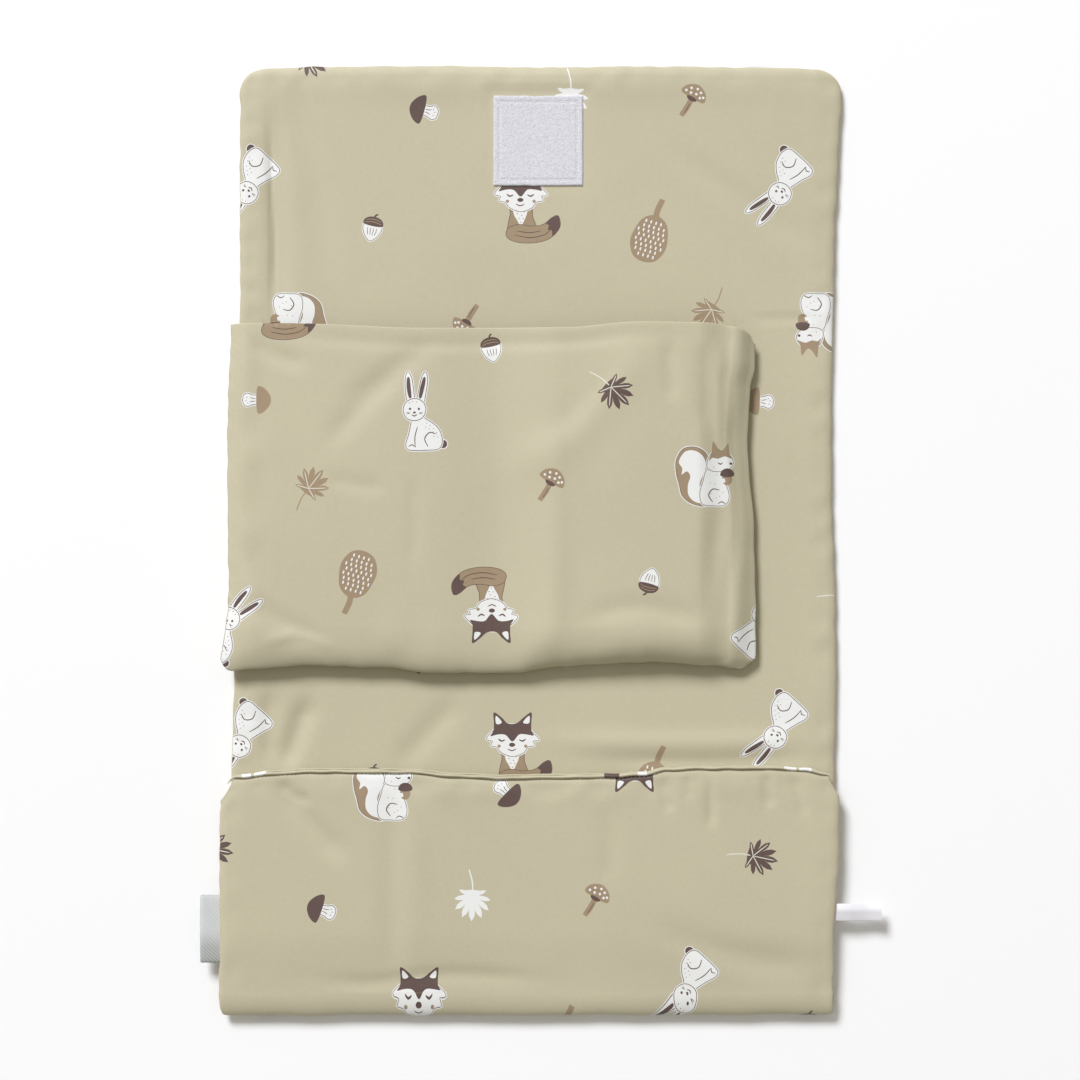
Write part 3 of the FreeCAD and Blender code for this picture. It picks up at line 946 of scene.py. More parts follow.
def patch(us, vs, place, drawings=(), under=False):
    """A cut piece of cloth: a grid with the print cut into it. Gives its places, normals, faces and inks."""
    u, v = np.meshgrid(us, vs)
    rows, cols = u.shape
    index = np.arange(rows * cols).reshape(rows, cols)
    flat = [np.stack([u.ravel(), v.ravel()], 1)]
    count = rows * cols
    plain = np.ones((rows - 1, cols - 1), bool)
    faces, inks = [], []
    for i0, i1, j0, j1, art in blocks_of(us, vs, drawings):
        plain[j0:j1, i0:i1] = False
        ring = np.concatenate([index[j0, i0:i1], index[j0:j1, i1], index[j1, i1:i0:-1], index[j1:j0:-1, i0]])
        inner = index[j0 + 1:j1, i0 + 1:i1].ravel()
        known = np.concatenate([ring, inner])
        points = [flat[0][known]]
        loops, ink_of = [list(range(len(ring)))], [FABRIC]
        low = flat[0][index[j0, i0]] + CELL_MARGIN
        high = flat[0][index[j1, i1]] - CELL_MARGIN
        at = len(known)
        for ink, outline in art:
            outline = clipped(outline, low, high)
            if len(outline) < 3 or abs(area_of(outline)) < LEAST_AREA:
                continue
            if area_of(outline) < 0:
                outline = outline[::-1]
            points.append(outline)
            loops.append(list(range(at, at + len(outline))))
            ink_of.append(ink)
            at += len(outline)
        points = np.concatenate(points)
        spots, _, triangles, from_points, _, from_loops = delaunay_2d_cdt(
            [Vector(p) for p in points], [], loops, 1, 1e-4)
        place_of = []
        fresh = []
        for spot, came_from in zip(spots, from_points):
            old = [c for c in came_from if c < len(known)]
            if old:
                place_of.append(int(known[old[0]]))
            else:
                place_of.append(count + len(fresh))
                fresh.append(spot[:])
        if fresh:
            flat.append(np.array(fresh))
            count += len(fresh)
        cut = [triangle for triangle, held in zip(triangles, from_loops) if 0 in held]
        spots = np.array([spot[:] for spot in spots])
        middles = spots[np.array(cut)].mean(1)
        ink = np.full(len(cut), FABRIC)
        for colour, loop in zip(ink_of[1:], loops[1:]):
            ink[within(points[loop], middles)] = colour
        faces += [[place_of[k] for k in triangle] for triangle in cut]
        inks += ink.tolist()
    quads = grid_faces(rows, cols)[plain.ravel()].tolist()
    faces = quads + faces
    inks = [FABRIC] * len(quads) + inks
    flat = np.concatenate(flat)
    limits = (us[0], us[-1], vs[0], vs[-1])
    normals = surface_normal(place, flat[:, 0], flat[:, 1], limits)
    if under:
        normals = -normals
        faces = [f[::-1] for f in faces]
    return place(flat[:, 0], flat[:, 1]), normals, faces, inks


def build(name, patches, materials):
    """Sews patches into one mesh, in metres. Points in the same place become one."""
    places = np.concatenate([p[0] for p in patches])
    normals = np.concatenate([p[1] for p in patches])
    keys = np.round(places / JOIN).astype(np.int64)
    _, first, back = np.unique(keys, axis=0, return_index=True, return_inverse=True)
    back = back.ravel()
    total = np.zeros((len(first), 3))
    np.add.at(total, back, normals)
    faces, inks, at = [], [], 0
    for points, _, its_faces, its_inks in patches:
        for face, ink in zip(its_faces, its_inks):
            corners = []
            for k in face:
                c = int(back[at + k])
                if c not in corners:
                    corners.append(c)
            if len(corners) > 2:
                faces.append(corners)
                inks.append(ink)
        at += len(points)
    mesh = bpy.data.meshes.new(name)
    mesh.from_pydata((places[first] * MM).tolist(), [], faces)
    mesh.polygons.foreach_set("material_index", np.array(inks, np.int32))
    mesh.polygons.foreach_set("use_smooth", np.ones(len(faces), bool))
    for material in materials:
        mesh.materials.append(material)
    mesh.normals_split_custom_set_from_vertices(unit(total).tolist())
    mesh.update()
    return new_object(name, mesh)


def bar_faces(count, sides):
    """The faces of a bar made of rings of points, with its ends closed."""
    faces = []
    for a in range(0, (count - 1) * sides, sides):
        for b in range(sides):
            c = (b + 1) % sides
            faces.append([a + b, a + sides + b, a + sides + c, a + c])
    last = (count - 1) * sides
    return faces + [list(range(sides)), list(range(last, last + sides))[::-1]]


def tube(path, radii, sides, flat=1.0):
    """A soft bar along a path that lies about level, as a patch."""
    ahead = unit(np.gradient(path, axis=0))
    side = unit(np.cross(ahead, np.array([0.0, 0.0, 1.0])))
    top = np.cross(side, ahead)
    t = np.linspace(0, 2 * math.pi, sides, endpoint=False)
    out = np.cos(t)[None, :, None] * side[:, None] + np.sin(t)[None, :, None] * top[:, None] * flat
    places = path[:, None] + out * radii[:, None, None]
    faces = bar_faces(len(path), sides)
    return places.reshape(-1, 3), unit(out).reshape(-1, 3), faces, [FABRIC] * len(faces)


def stitches(line, place, length, pitch, radius, under=False):
    """Stitches along a line of flat coordinates on a surface, each sinking into the cloth at its ends."""
    line = np.asarray(line, float)
    along = lengths_along(line)
    sign = -1 if under else 1
    rows = []
    for k in range(int(along[-1] / pitch)):
        at = np.linspace(k * pitch, k * pitch + length, 5)
        u, v = np.interp(at, along, line[:, 0]), np.interp(at, along, line[:, 1])
        points = place(u, v)
        points[:, 2] += sign * radius * np.array([-0.9, 0.35, 0.6, 0.35, -0.9])
        rows.append(tube(points, radius * np.array([0.6, 0.95, 1.0, 0.95, 0.6]), 6))
    return rows


def frame_line(low, high):
    """The square line that a patch's stitches follow."""
    x0, y0, x1, y1 = low[0] + PATCH_INSET, low[1] + PATCH_INSET, high[0] - PATCH_INSET, high[1] - PATCH_INSET
    return [(x0, y0), (x1, y0), (x1, y1), (x0, y1), (x0, y0)]


# ---------------------------------------------------------------- materials

def principled(name):
    material = bpy.data.materials.new(name)
    material.use_nodes = True
    tree = material.node_tree
    tree.nodes.clear()
    out = tree.nodes.new("ShaderNodeOutputMaterial")
    shader = tree.nodes.new("ShaderNodeBsdfPrincipled")
    tree.links.new(shader.outputs["BSDF"], out.inputs["Surface"])
    return material, tree, shader


def feed(tree, socket, value):
    if isinstance(value, bpy.types.NodeSocket):
        tree.links.new(value, socket)
    else:
        socket.default_value = value


def add(tree, kind, **inputs):
    """Adds a node. Names in inputs are its sockets or its settings."""
    made = tree.nodes.new(kind)
    for key, value in inputs.items():
        if key not in made.inputs and hasattr(made, key):
            setattr(made, key, value)
        else:
            feed(tree, made.inputs[key.replace("_", " ")], value)
    return made


def maths(tree, operation, a, b):
    made = add(tree, "ShaderNodeMath", operation=operation)
    feed(tree, made.inputs[0], a)
    feed(tree, made.inputs[1], b)
    return made.outputs[0]


def weighed(tree, a, a_share, b, b_share):
    return maths(tree, "ADD", maths(tree, "MULTIPLY", a, a_share), maths(tree, "MULTIPLY", b, b_share))


def noise(tree, where, scale, detail, roughness=0.5):
    return add(tree, "ShaderNodeTexNoise", Vector=where, Scale=scale, Detail=detail,
               Roughness=roughness).outputs["Fac"]


def ribs(tree, where, direction, pitch, distortion, detail):
    """Ribs or threads side by side, a pitch apart in metres."""
    return add(tree, "ShaderNodeTexWave", Vector=where, bands_direction=direction,
               Scale=2 * math.pi / 20 / pitch, Distortion=distortion, Detail=detail).outputs["Fac"]


def dress(tree, shader, shade, colours, relief, gloss, sheen):
    """Feeds a shader: the colours at places along a shade, relief as (height, strength, depth in metres), and
    gloss as (wear, least roughness, most)."""
    ramp = add(tree, "ShaderNodeValToRGB", Fac=shade)
    for stop, (place, colour) in zip(ramp.color_ramp.elements, colours):
        stop.position = place
        stop.color = (*colour, 1)
    bump = add(tree, "ShaderNodeBump", Height=relief[0], Strength=relief[1], Distance=relief[2])
    rough = add(tree, "ShaderNodeMapRange", Value=gloss[0], To_Min=gloss[1], To_Max=gloss[2])
    for made, name in ((ramp, "Base Color"), (bump, "Normal"), (rough, "Roughness")):
        tree.links.new(made.outputs[0], shader.inputs[name])
    shader.inputs["Sheen Weight"].default_value = sheen


def cloth_material(name, colour, mottle=0.05):
    """Woven, coated cloth: uneven dye, threads crossing, and a slight unevenness in its gloss."""
    material, tree, shader = principled(name)
    where = add(tree, "ShaderNodeTexCoord").outputs["Object"]
    dye = weighed(tree, noise(tree, where, 7.0, 3.0, 0.6), 0.6, noise(tree, where, 420.0, 2.0, 0.7), 0.4)
    warp, weft = (ribs(tree, where, axis, 0.00042, 0.6, 1.0) for axis in "XY")
    slubs = noise(tree, where, 150.0, 4.0, 0.65)
    height = maths(tree, "ADD", maths(tree, "MULTIPLY", warp, weft), maths(tree, "MULTIPLY", slubs, 0.5))
    darker, lighter = ([min(1.0, c * share) for c in colour] for share in (1 - mottle, 1 + mottle))
    dress(tree, shader, dye, ((0.3, darker), (0.7, lighter)), (height, 0.35, 0.00012), (slubs, 0.44, 0.58),
          0.04)
    shader.inputs["Sheen Roughness"].default_value = 0.45
    shader.inputs["Specular IOR Level"].default_value = 0.4
    return material


def twill_material(name, colour, pitch, depth, roughness=0.6):
    """A ribbon's, tape's or thread's slanting ribs."""
    material, tree, shader = principled(name)
    where = add(tree, "ShaderNodeTexCoord").outputs["Object"]
    twill = ribs(tree, where, "DIAGONAL", pitch, 0.4, 2.0)
    wear = noise(tree, where, 90.0, 3.0)
    darker = [c * 0.86 for c in colour]
    dress(tree, shader, weighed(tree, twill, 0.4, wear, 0.6), ((0.2, darker), (0.75, colour)),
          (twill, 0.5, depth), (wear, roughness - 0.08, roughness + 0.1), 0.2)
    return material


def pile_material(name, colour, shade, scale, roughness):
    """A fastening patch's loops or hooks: light tips over a ground darkened with painted shade between the
    tufts.
    """
    material, tree, shader = principled(name)
    where = add(tree, "ShaderNodeTexCoord").outputs["Object"]
    tufts = add(tree, "ShaderNodeTexVoronoi", Vector=where, Scale=scale).outputs["Distance"]
    fluff = noise(tree, where, scale * 0.6, 5.0, 0.75)
    # painted shade: the colour runs from the tufts' own colour to the shade colour away from the tufts'
    # middles
    dress(tree, shader, weighed(tree, tufts, 0.5, fluff, 0.8), ((0.3, colour), (0.95, shade)),
          (fluff, 0.8, 0.0006), (fluff, roughness - 0.1, roughness + 0.1), 0.35)
    return material


COVER = [
    cloth_material("printed_cover", (0.530, 0.487, 0.342)),
    cloth_material("print_cream", (0.72, 0.70, 0.60), mottle=0.03),
    cloth_material("print_white", (0.82, 0.82, 0.80), mottle=0.02),
    cloth_material("print_tan", (0.345, 0.255, 0.160), mottle=0.07),
    cloth_material("print_brown", (0.115, 0.072, 0.062), mottle=0.12),
]
TAPE = [twill_material("seam_tape", (0.52, 0.48, 0.35), 0.0011, 0.0002)]
# the second colour of each pile is painted shade between its tufts
LOOPS = [pile_material("loop_pile", (0.86, 0.85, 0.89), (0.55, 0.54, 0.60), 1500.0, 0.85)]
HOOKS = [pile_material("hook_ground", (0.62, 0.61, 0.65), (0.38, 0.37, 0.42), 900.0, 0.6)]
# The slit's thread is a little darker than the cover: partly its own colour, partly painted shade of the slit
# it lies in.
SLIT_THREAD_AND_SHADE = [twill_material("slit_thread_and_shade", (0.44, 0.40, 0.28), 0.0005, 0.00012, 0.6)]
PALE_THREAD = [twill_material("pale_thread", (0.84, 0.82, 0.72), 0.0005, 0.00012, 0.5)]
RIBBON = [twill_material("ribbon_twill", (0.54, 0.56, 0.545), 0.0011, 0.0003, 0.5)]
SATIN = [twill_material("care_satin", (0.90, 0.89, 0.93), 0.0007, 0.0001, 0.35)]


# ---------------------------------------------------------------- letting the cloth settle

# The creases that are laid over the settled cloth, as soft_folds takes them
MAT_FOLDS = (
    (((-155, 258), (-153, 200), (-151, 150), (-155, 122)), -1.5, 7.0, 0.3),
    (((-157, 250), (-155.5, 215), (-153.5, 170), (-155, 126)), -0.8, 2.2, 0.2),
    (((-146, 272), (-130, 215), (-120, 145)), -0.7, 9.0, 0.0),
    (((71, 231), (120, 196), (168, 165)), -0.7, 8.0, 0.2),
    (((121, 128), (168, 128)), -0.6, 1.8, 0.0),
    (((-155, -84), (-154, -134)), -1.6, 6.0, 0.3),
    (((-131, -88), (-140, -112), (-148, -136)), -2.2, 6.5, 0.4),
    (((-44, -90), (-62, -110), (-84, -134)), -1.3, 8.0, 0.2),
    (((-5, -117), (80, -119), (168, -116)), 1.3, 6.5, 0.2),
    (((30, -127), (100, -128), (165, -126)), -0.9, 4.0, 0.0),
)
FLAP_FOLDS = (
    (((-155, -140), (-132, -164), (-108, -190)), -1.6, 7.0, 0.4),
    (((-150, -139), (-140, -148), (-128, -153)), -0.9, 3.5, 0.2),
    (((-84, -138), (-85, -200), (-83, -262)), -0.9, 7.5, 0.4),
    (((-72, -150), (-70, -200), (-72, -250)), 0.5, 8.0, 0.0),
    (((72, -138), (74, -148), (77, -160)), -0.9, 3.2, 0.3),
    (((86, -138), (87, -146), (88, -153)), -0.5, 2.6, 0.2),
    (((99, -138), (100, -152), (100, -169)), -1.0, 3.4, 0.3),
    (((132, -136), (133, -148), (135, -158)), -1.0, 3.0, 0.3),
    (((146, -136), (150, -147), (155, -163)), -0.7, 3.4, 0.3),
    (((-140, -252), (-100, -257), (-50, -252), (14, -256)), -1.0, 5.0, 0.2),
    (((60, -222), (110, -240), (168, -250)), -1.2, 9.0, 0.3),
    (((40, -145), (42, -175), (38, -205)), -0.6, 7.0, 0.3),
)
POUCH_FOLDS = (
    (((-176, 116), (-120, 114), (-60, 112.5), (0, 113.5), (60, 115), (112, 114)), -0.55, 4.2, 0.2),
    (((66, 118), (38, 88), (14, 58), (-26, 38)), 1.1, 13.0, 0.6),
    (((50, 106), (24, 76), (4, 58)), -0.7, 8.0, 0.2),
    (((74, 116), (75, 96), (77, 76)), -0.8, 4.5, 0.3),
    (((94, 117), (95, 90), (96, 58)), -1.0, 5.0, 0.3),
    (((113, 116), (116, 60), (115, 0), (110, -42)), -1.6, 5.0, 0.5),
    (((104, 118), (106, 80), (108, 40)), 0.9, 4.0, 0.0),
    (((104, 25), (99, -10), (95, -38), (95, -62)), -1.0, 7.0, 0.3),
    (((22, -47), (60, -39), (100, -49)), -0.9, 7.0, 0.3),
    (((-122, 50), (-98, 76), (-72, 98)), -0.9, 7.0, 0.4),
    (((-113, 73), (-88, 92), (-56, 114)), -0.8, 7.0, 0.4),
    (((-122, 36), (-104, 31), (-84, 29)), -0.6, 5.0, 0.2),
    (((-72, 40), (-71, 10), (-72, -20)), -0.5, 5.0, 0.4),
    (((-172, 113), (-150, 104), (-128, 98)), -0.8, 5.5, 0.3),
    (((-174, -33), (-150, -46), (-118, -64)), -1.0, 6.5, 0.4),
    (((-160, -62), (-140, -55), (-112, -66)), 0.6, 4.0, 0.0),
)


def well_inside(u, v, low, high, soft):
    """1 well inside a rectangle and 0 outside it."""
    across = ease((u - low[0]) / soft) * ease((high[0] - u) / soft)
    return across * ease((v - low[1]) / soft) * ease((high[1] - v) / soft)


def softened(values):
    """A field's values with the solver's grid smoothed out of them."""
    for axis in (0, 1):
        ahead, behind = np.roll(values, -1, axis), np.roll(values, 1, axis)
        mixed = 0.5 * values + 0.25 * (ahead + behind)
        ends = [slice(None)] * values.ndim
        for end in (0, -1):
            ends[axis] = end
            mixed[tuple(ends)] = values[tuple(ends)]
        values = mixed
    return values


def folded_relief(field, folds, keep, limits):
    """A settled field with its soft folds added, dimmed where another piece lies on it."""
    us, vs, u, v = even_grid(*limits, 2.5)
    field.values = softened(softened(field.values))
    values = field(u, v)
    values[..., 2] += soft_folds(u, v, folds)
    return Field(us, vs, values * keep(u, v)[..., None])


def mat_keep(u, v):
    under_flap = ease((v - FLAP_EDGE + 12) / 12)
    under_pouch = well_inside(u, v, (POUCH_LEFT, POUCH_FOOT + 2), (POUCH_RIGHT + 2, POUCH_MOUTH - 2), 12)
    under_patch = well_inside(u, v, LOOP_LOW[:2] - 8, LOOP_HIGH[:2] + 8, 8)
    return under_flap * (1 - under_pouch) * (1 - 0.7 * under_patch)


# How the padded layers and the pouch settle: how far the solid below is lowered, how much larger the cloth is
# cut, and how stiff it is
PADDED = {"drop": 0.8, "growth": 0.004, "stiffness": 12.0}
LOOSE = {"drop": 1.6, "growth": 0.009, "stiffness": 5.0}

MAT_LIMITS = (MAT_LEFT, MAT_RIGHT, FLAP_EDGE - 20, HEAD_END)
settled = settled_relief(mat_top, MAT_LIMITS, MAT_LIMITS, **PADDED)
MAT_RELIEF = folded_relief(settled, MAT_FOLDS, mat_keep, MAT_LIMITS)

FLAP_LIMITS = (FLAP_LEFT, FLAP_RIGHT, FOLD_ROW, FLAP_EDGE)
settled = settled_relief(flap_top, FLAP_LIMITS, FLAP_LIMITS, **PADDED)
FLAP_RELIEF = folded_relief(settled, FLAP_FOLDS, lambda u, v: np.ones(u.shape), FLAP_LIMITS)

POUCH_LIMITS = (POUCH_LEFT, POUCH_RIGHT, POUCH_FOOT, POUCH_MOUTH)
settled = settled_relief(pouch_front_place, POUCH_LIMITS, (*POUCH_LIMITS[:3], math.inf), **LOOSE)
POUCH_RELIEF = folded_relief(settled, POUCH_FOLDS, lambda u, v: pouch_fill(u, v, (16.0, 16.0, 16.0)) ** 1.5,
                             POUCH_LIMITS)


# ---------------------------------------------------------------- the padded pieces

BODY_STARTS = {"mat": (-161.5, 208.8), "flap": (89.0, -255.0), "pouch": (122.0, -52.0)}
STRIP_ROUND = 21.5           # the cloth's length round the foot fold
ACROSS = lines(MAT_LEFT, MAT_RIGHT)
FLAP_ACROSS = lines(FLAP_LEFT, FLAP_RIGHT)
SWEEPS = np.linspace(0.5, 0.0, 8)
FOLD_ROWS = FOLD_ROW - FOLD_REACH * np.sin(math.pi * SWEEPS)


def mat_piece(name, low, high, tight_high=False, foot=False):
    """A length of the mat: its top, its back and its sewn sides in one."""
    top_rows = lines(low, high, False, tight_high)
    back_rows = top_rows
    if foot:
        back_rows = lines(FOLD_ROW, high, False, False)
        top_rows = np.concatenate([FOLD_ROWS, back_rows[1:]])
    top_art = printed((MAT_LEFT, MAT_RIGHT, top_rows[0], high), BODY_STARTS["mat"], "mat",
                      fit=fitted(mat_top))
    back_art = printed((MAT_LEFT, MAT_RIGHT, back_rows[0], high), BODY_STARTS["flap"],
                       flip_about=2 * FOLD_ROW - STRIP_ROUND)
    return build(name, [patch(ACROSS, top_rows, mat_top, top_art),
                        patch(ACROSS, back_rows, mat_back, back_art, True)], COVER)


mat_head = mat_piece("mat_head", HEAD_SPLIT, HEAD_END, tight_high=True)
mat_centre_head = mat_piece("mat_centre_head", CENTRE_SPLIT, HEAD_SPLIT)
mat_centre_foot = mat_piece("mat_centre_foot", FOOT_SPLIT, CENTRE_SPLIT)
mat_foot = mat_piece("mat_foot", FOLD_ROW, FOOT_SPLIT, foot=True)

flap_rows = lines(FOLD_ROW, FLAP_EDGE, False, True)
flap_art = printed((FLAP_LEFT, FLAP_RIGHT, FOLD_ROW, FLAP_EDGE), BODY_STARTS["flap"], "flap",
                   fit=fitted(flap_top))
inner_art = printed((FLAP_LEFT, FLAP_RIGHT, FOLD_Y, FLAP_EDGE), BODY_STARTS["mat"], flip_about=2 * FOLD_Y)
mat_end_flap = build("mat_end_flap", [
    patch(FLAP_ACROSS, flap_rows, flap_top, flap_art),
    patch(FLAP_ACROSS, np.concatenate([FOLD_ROWS, flap_rows[1:]]), flap_back, inner_art, True),
], COVER)


def strip_place(u, v):
    """The fold strip, by millimetres across and length round, so that the print carries on round it."""
    round_fold = np.clip((v - FOLD_ROW) / STRIP_ROUND + 1, 0, 1)
    return fold_place((u - MAT_LEFT) / (MAT_RIGHT - MAT_LEFT), round_fold)


strip_rows = FOLD_ROW - STRIP_ROUND * (1 - np.linspace(0, 1, 19))


def strip_fit(points):
    """Moves an outline across, so that it meets its other half on the flap."""
    flat = points.copy()
    for _ in range(3):
        flat[:, 0] += points[:, 0] - strip_place(flat[:, 0], flat[:, 1])[..., 0]
    return flat


strip_art = printed((MAT_LEFT, MAT_RIGHT, strip_rows[0], FOLD_ROW), BODY_STARTS["flap"], "flap",
                    fit=strip_fit)
mat_foot_fold = build("mat_foot_fold", [patch(ACROSS, strip_rows, strip_place, strip_art)], COVER)

CLOTH_THICKNESS = 0.6


def sheet_piece(name, place, drawings, under):
    """A sheet as a thin closed shell, printed on its outer side. The front one has a hem turned in at its
    mouth."""
    us = lines(POUCH_LEFT, POUCH_RIGHT)
    vs = lines(POUCH_FOOT, POUCH_MOUTH, True, False)
    if not under:
        place = hemmed(place, POUCH_MOUTH, POUCH_LIMITS)
        turn = math.pi * HEM_ROLL
        vs = np.concatenate([vs, POUCH_MOUTH + turn * np.linspace(0, 1, 7)[1:],
                             POUCH_MOUTH + turn + HEM_INSIDE * np.linspace(0, 1, 5)[1:]])
    limits = (us[0], us[-1], vs[0], vs[-1])

    def inner(u, v):
        inward = CLOTH_THICKNESS * pouch_fill(u, np.minimum(v, POUCH_MOUTH), (6.0, 6.0, 6.0))
        side = -1 if under else 1
        return place(u, v) - side * inward[..., None] * surface_normal(place, u, v, limits)

    def rim(u, t):
        v = np.full(np.shape(u), vs[-1])
        outside = place(u, v)
        return outside + (inner(u, v) - outside) * np.asarray(t)[..., None]

    return build(name, [patch(us, vs, place, drawings, under), patch(us, vs, inner, (), not under),
                        patch(us, np.array([0.0, 1.0]), rim, (), under)], COVER)


front_art = printed((POUCH_LEFT, POUCH_RIGHT, POUCH_FOOT, POUCH_MOUTH), BODY_STARTS["pouch"], "pouch", True,
                    fit=fitted(pouch_front_place))
pouch_front = sheet_piece("pouch_front", pouch_front_place, front_art, False)
back_art = printed((POUCH_LEFT, POUCH_RIGHT, POUCH_FOOT, POUCH_MOUTH), (-150.0, 40.0))
pouch_back = sheet_piece("pouch_back", pouch_back_place, back_art, True)


# ---------------------------------------------------------------- small pieces

TAPE_THICKNESS = 0.9
TAPE_BULGE = 1.3             # how far the tape stands out between its two seams


def seam_strip():
    """The tape that holds the pouch's left side to the mat's left side."""
    us, vs = np.linspace(0, 1, 9), np.linspace(POUCH_FOOT + 3, POUCH_MOUTH - 2, 80)
    ends = np.array([0.0, 1.0])

    def place(u, v):
        low = mat_top(np.full(np.shape(v), MAT_LEFT), v) + (0.6, 0, 0)
        high = pouch_front_place(np.full(np.shape(v), POUCH_LEFT), v) + (0.8, 0, 0)
        path = low + (high - low) * ease(u)[..., None]
        path[..., 0] -= TAPE_BULGE * np.sin(math.pi * u)
        return path

    def edge(u, v, t):
        return place(u, v) + np.asarray(t)[..., None] * (TAPE_THICKNESS, 0, 0)

    patches = [patch(us, vs, place), patch(us, vs, lambda u, v: edge(u, v, np.ones(np.shape(u))), (), True)]
    for end in ends:
        long_edge = lambda t, v: edge(np.full(np.shape(t), end), v, t)
        patches.append(patch(ends, vs, long_edge, (), end > 0))
    for end in (vs[0], vs[-1]):
        short_edge = lambda u, t: edge(u, np.full(np.shape(u), end), t)
        patches.append(patch(us, ends, short_edge, (), end > 0))
    return build("pouch_seam_strip", patches, TAPE)


pouch_seam_strip = seam_strip()

PILE_LINES = 88              # the lines of a fastening patch's grid, each way
PATCH_INSET = 3.5            # how far in from a patch's edge its stitches run
PATCH_STITCH = (1.2, 1.9, 0.24)


def pile_patch(name, low, high, ground, thickness, rise, seed, materials, under=False):
    """A fastening patch: a low cushion of loops or hooks on the cover, flattened where it is sewn down."""
    us, vs = np.linspace(low[0], high[0], PILE_LINES), np.linspace(low[1], high[1], PILE_LINES)
    tufts = Field(us, vs, np.random.default_rng(seed).uniform(-1, 1, (PILE_LINES, PILE_LINES)))

    def place(u, v):
        du = np.minimum(u - low[0], high[0] - u)
        dv = np.minimum(v - low[1], high[1] - v)
        inward = np.minimum(du, dv)
        height = thickness * pad_curve(du, 0.8, 2.0) * pad_curve(dv, 0.8, 2.0)
        sewn = np.exp(-((inward - PATCH_INSET) / 0.7) ** 2)
        lift = height - 0.26 * sewn * thickness + rise * tufts(u, v) * np.clip(inward, 0, 1)
        points = ground(u, v)
        points[..., 2] += -lift if under else lift
        uneven = 0.12 * np.clip(1 - inward / 4, 0, 1)
        points[..., 0] += uneven * ripple(v, u * 0, 9.0, seed + 3)
        points[..., 1] += uneven * ripple(u, v * 0, 9.0, seed + 4)
        return points

    return build(name, [patch(us, vs, place, (), under)], materials), place


loop_patch, loop_place = pile_patch("loop_patch_pile", LOOP_LOW, LOOP_HIGH, mat_top, 1.2, 0.05, 71, LOOPS)
hook_patch, hook_place = pile_patch("hook_patch_hooks", HOOK_LOW, HOOK_HIGH, mat_back, HOOK_HIGH[2] - 0.15,
                                    0.06, 73, HOOKS, True)
loop_thread = build("loop_patch_thread", stitches(
    frame_line(LOOP_LOW, LOOP_HIGH), loop_place, *PATCH_STITCH), PALE_THREAD)
hook_thread = build("hook_patch_thread", stitches(
    frame_line(HOOK_LOW, HOOK_HIGH), hook_place, *PATCH_STITCH, True), PALE_THREAD)


# The parts of the print that run over the band: from, to and ink
BAND_PRINT = (
    (-171, -166.5, WHITE), (-164.5, -158, WHITE), (39, 47, BROWN), (58, 62.5, WHITE), (143, 149.5, WHITE),
    (151.5, 158, WHITE),
)
BAND_MIDDLE = 0.7            # how far in from the flap's edge the middle between its two rolls is
ROLLS = ((-0.1, -0.35, 0.6, 81), (1.15, 0.05, 0.95, 82))   # inset, lift, radius and seed of each
BAND_INSET = 5.5             # how far in the surface is taken that the rolls lie level with


def band():
    """The closing band: two narrow rolls of cover side by side along the flap's free edge, above the slit."""
    xs = np.linspace(FLAP_LEFT + 4, FLAP_RIGHT - 4, 200)
    share = (xs - xs[0]) / (xs[-1] - xs[0])
    taper = 0.2 + 0.8 * pad_curve(np.minimum(share, 1 - share), 0.045, 2.0)
    apart = course(((-180, 0.4), (-150, 1.0), (20, 1.0), (55, 0.75), (80, 0.45), (150, 0.4)), xs)
    rolls = []
    for inset, lift, radius, seed in ROLLS:
        line = flap_top(xs, np.full(xs.shape, FLAP_EDGE - BAND_INSET))
        line[:, 1] += BAND_INSET - (BAND_MIDDLE + (inset - BAND_MIDDLE) * apart)
        line[:, 2] += lift * taper
        line[:, 1] += 0.14 * puckers(xs, seed)
        line[:, 2] += 0.14 * puckers(xs, seed + 5)
        radii = radius * taper * (1 + 0.05 * puckers(xs, seed + 9))
        places, normals, faces, _ = tube(line, radii, 14, 0.7)
        starts = np.array([places[face[0], 0] for face in faces])
        inks = np.full(len(faces), FABRIC)
        for start, end, ink in BAND_PRINT:
            inks[(starts > start) & (starts < end)] = ink
        rolls.append((places, normals, faces, inks.tolist()))
    return build("flap_edge_rolls", rolls, COVER)


flap_edge_rolls = band()
thread_xs = np.linspace(FLAP_LEFT + 14, FLAP_RIGHT - 14, 160)
slit_line = np.stack([thread_xs, np.full(thread_xs.shape, FLAP_EDGE - SLIT)], 1)
# the slit's stitches, their darker colour partly painted shade of the slit
flap_edge_thread = build("flap_edge_thread", stitches(slit_line, flap_top, 1.4, 2.4, 0.24), SLIT_THREAD_AND_SHADE)


def label(name, node, steps, step, thickness, cup, material):
    """A strip as wide as its CAD solid, with rounded edges. Its steps are (0 for the solid's low x or 1 for
    its high, how far past that, rise above its middle); cup is how far its middle stands up."""
    corners = span(node)
    width = corners[1][1] - corners[0][1]
    _, y, z = (corners[0] + corners[1]) / 2
    path = smooth_line([(corners[end][0] + past, y, z + rise) for end, past, rise in steps], step=step)
    across = np.array([0.0, 1.0, 0.0])
    ahead = unit(np.gradient(path, axis=0))
    up = unit(np.cross(np.broadcast_to(across, ahead.shape), ahead))
    t = np.linspace(0, 2 * math.pi, 33)[:-1]
    wide = np.sign(np.cos(t)) * np.abs(np.cos(t)) ** 0.35 * width / 2
    high = np.sin(t) * thickness / 2 + cup * (1 - (wide / (width / 2)) ** 2)
    places = path[:, None] + wide[None, :, None] * across + high[None, :, None] * up[:, None]
    normals = unit(np.sin(t)[None, :, None] * up[:, None] + 0.25 * np.sign(np.cos(t))[None, :, None] * across)
    faces = bar_faces(len(path), len(t))
    return build(name, [(places.reshape(-1, 3), normals.reshape(-1, 3), faces, [0] * len(faces))], material)


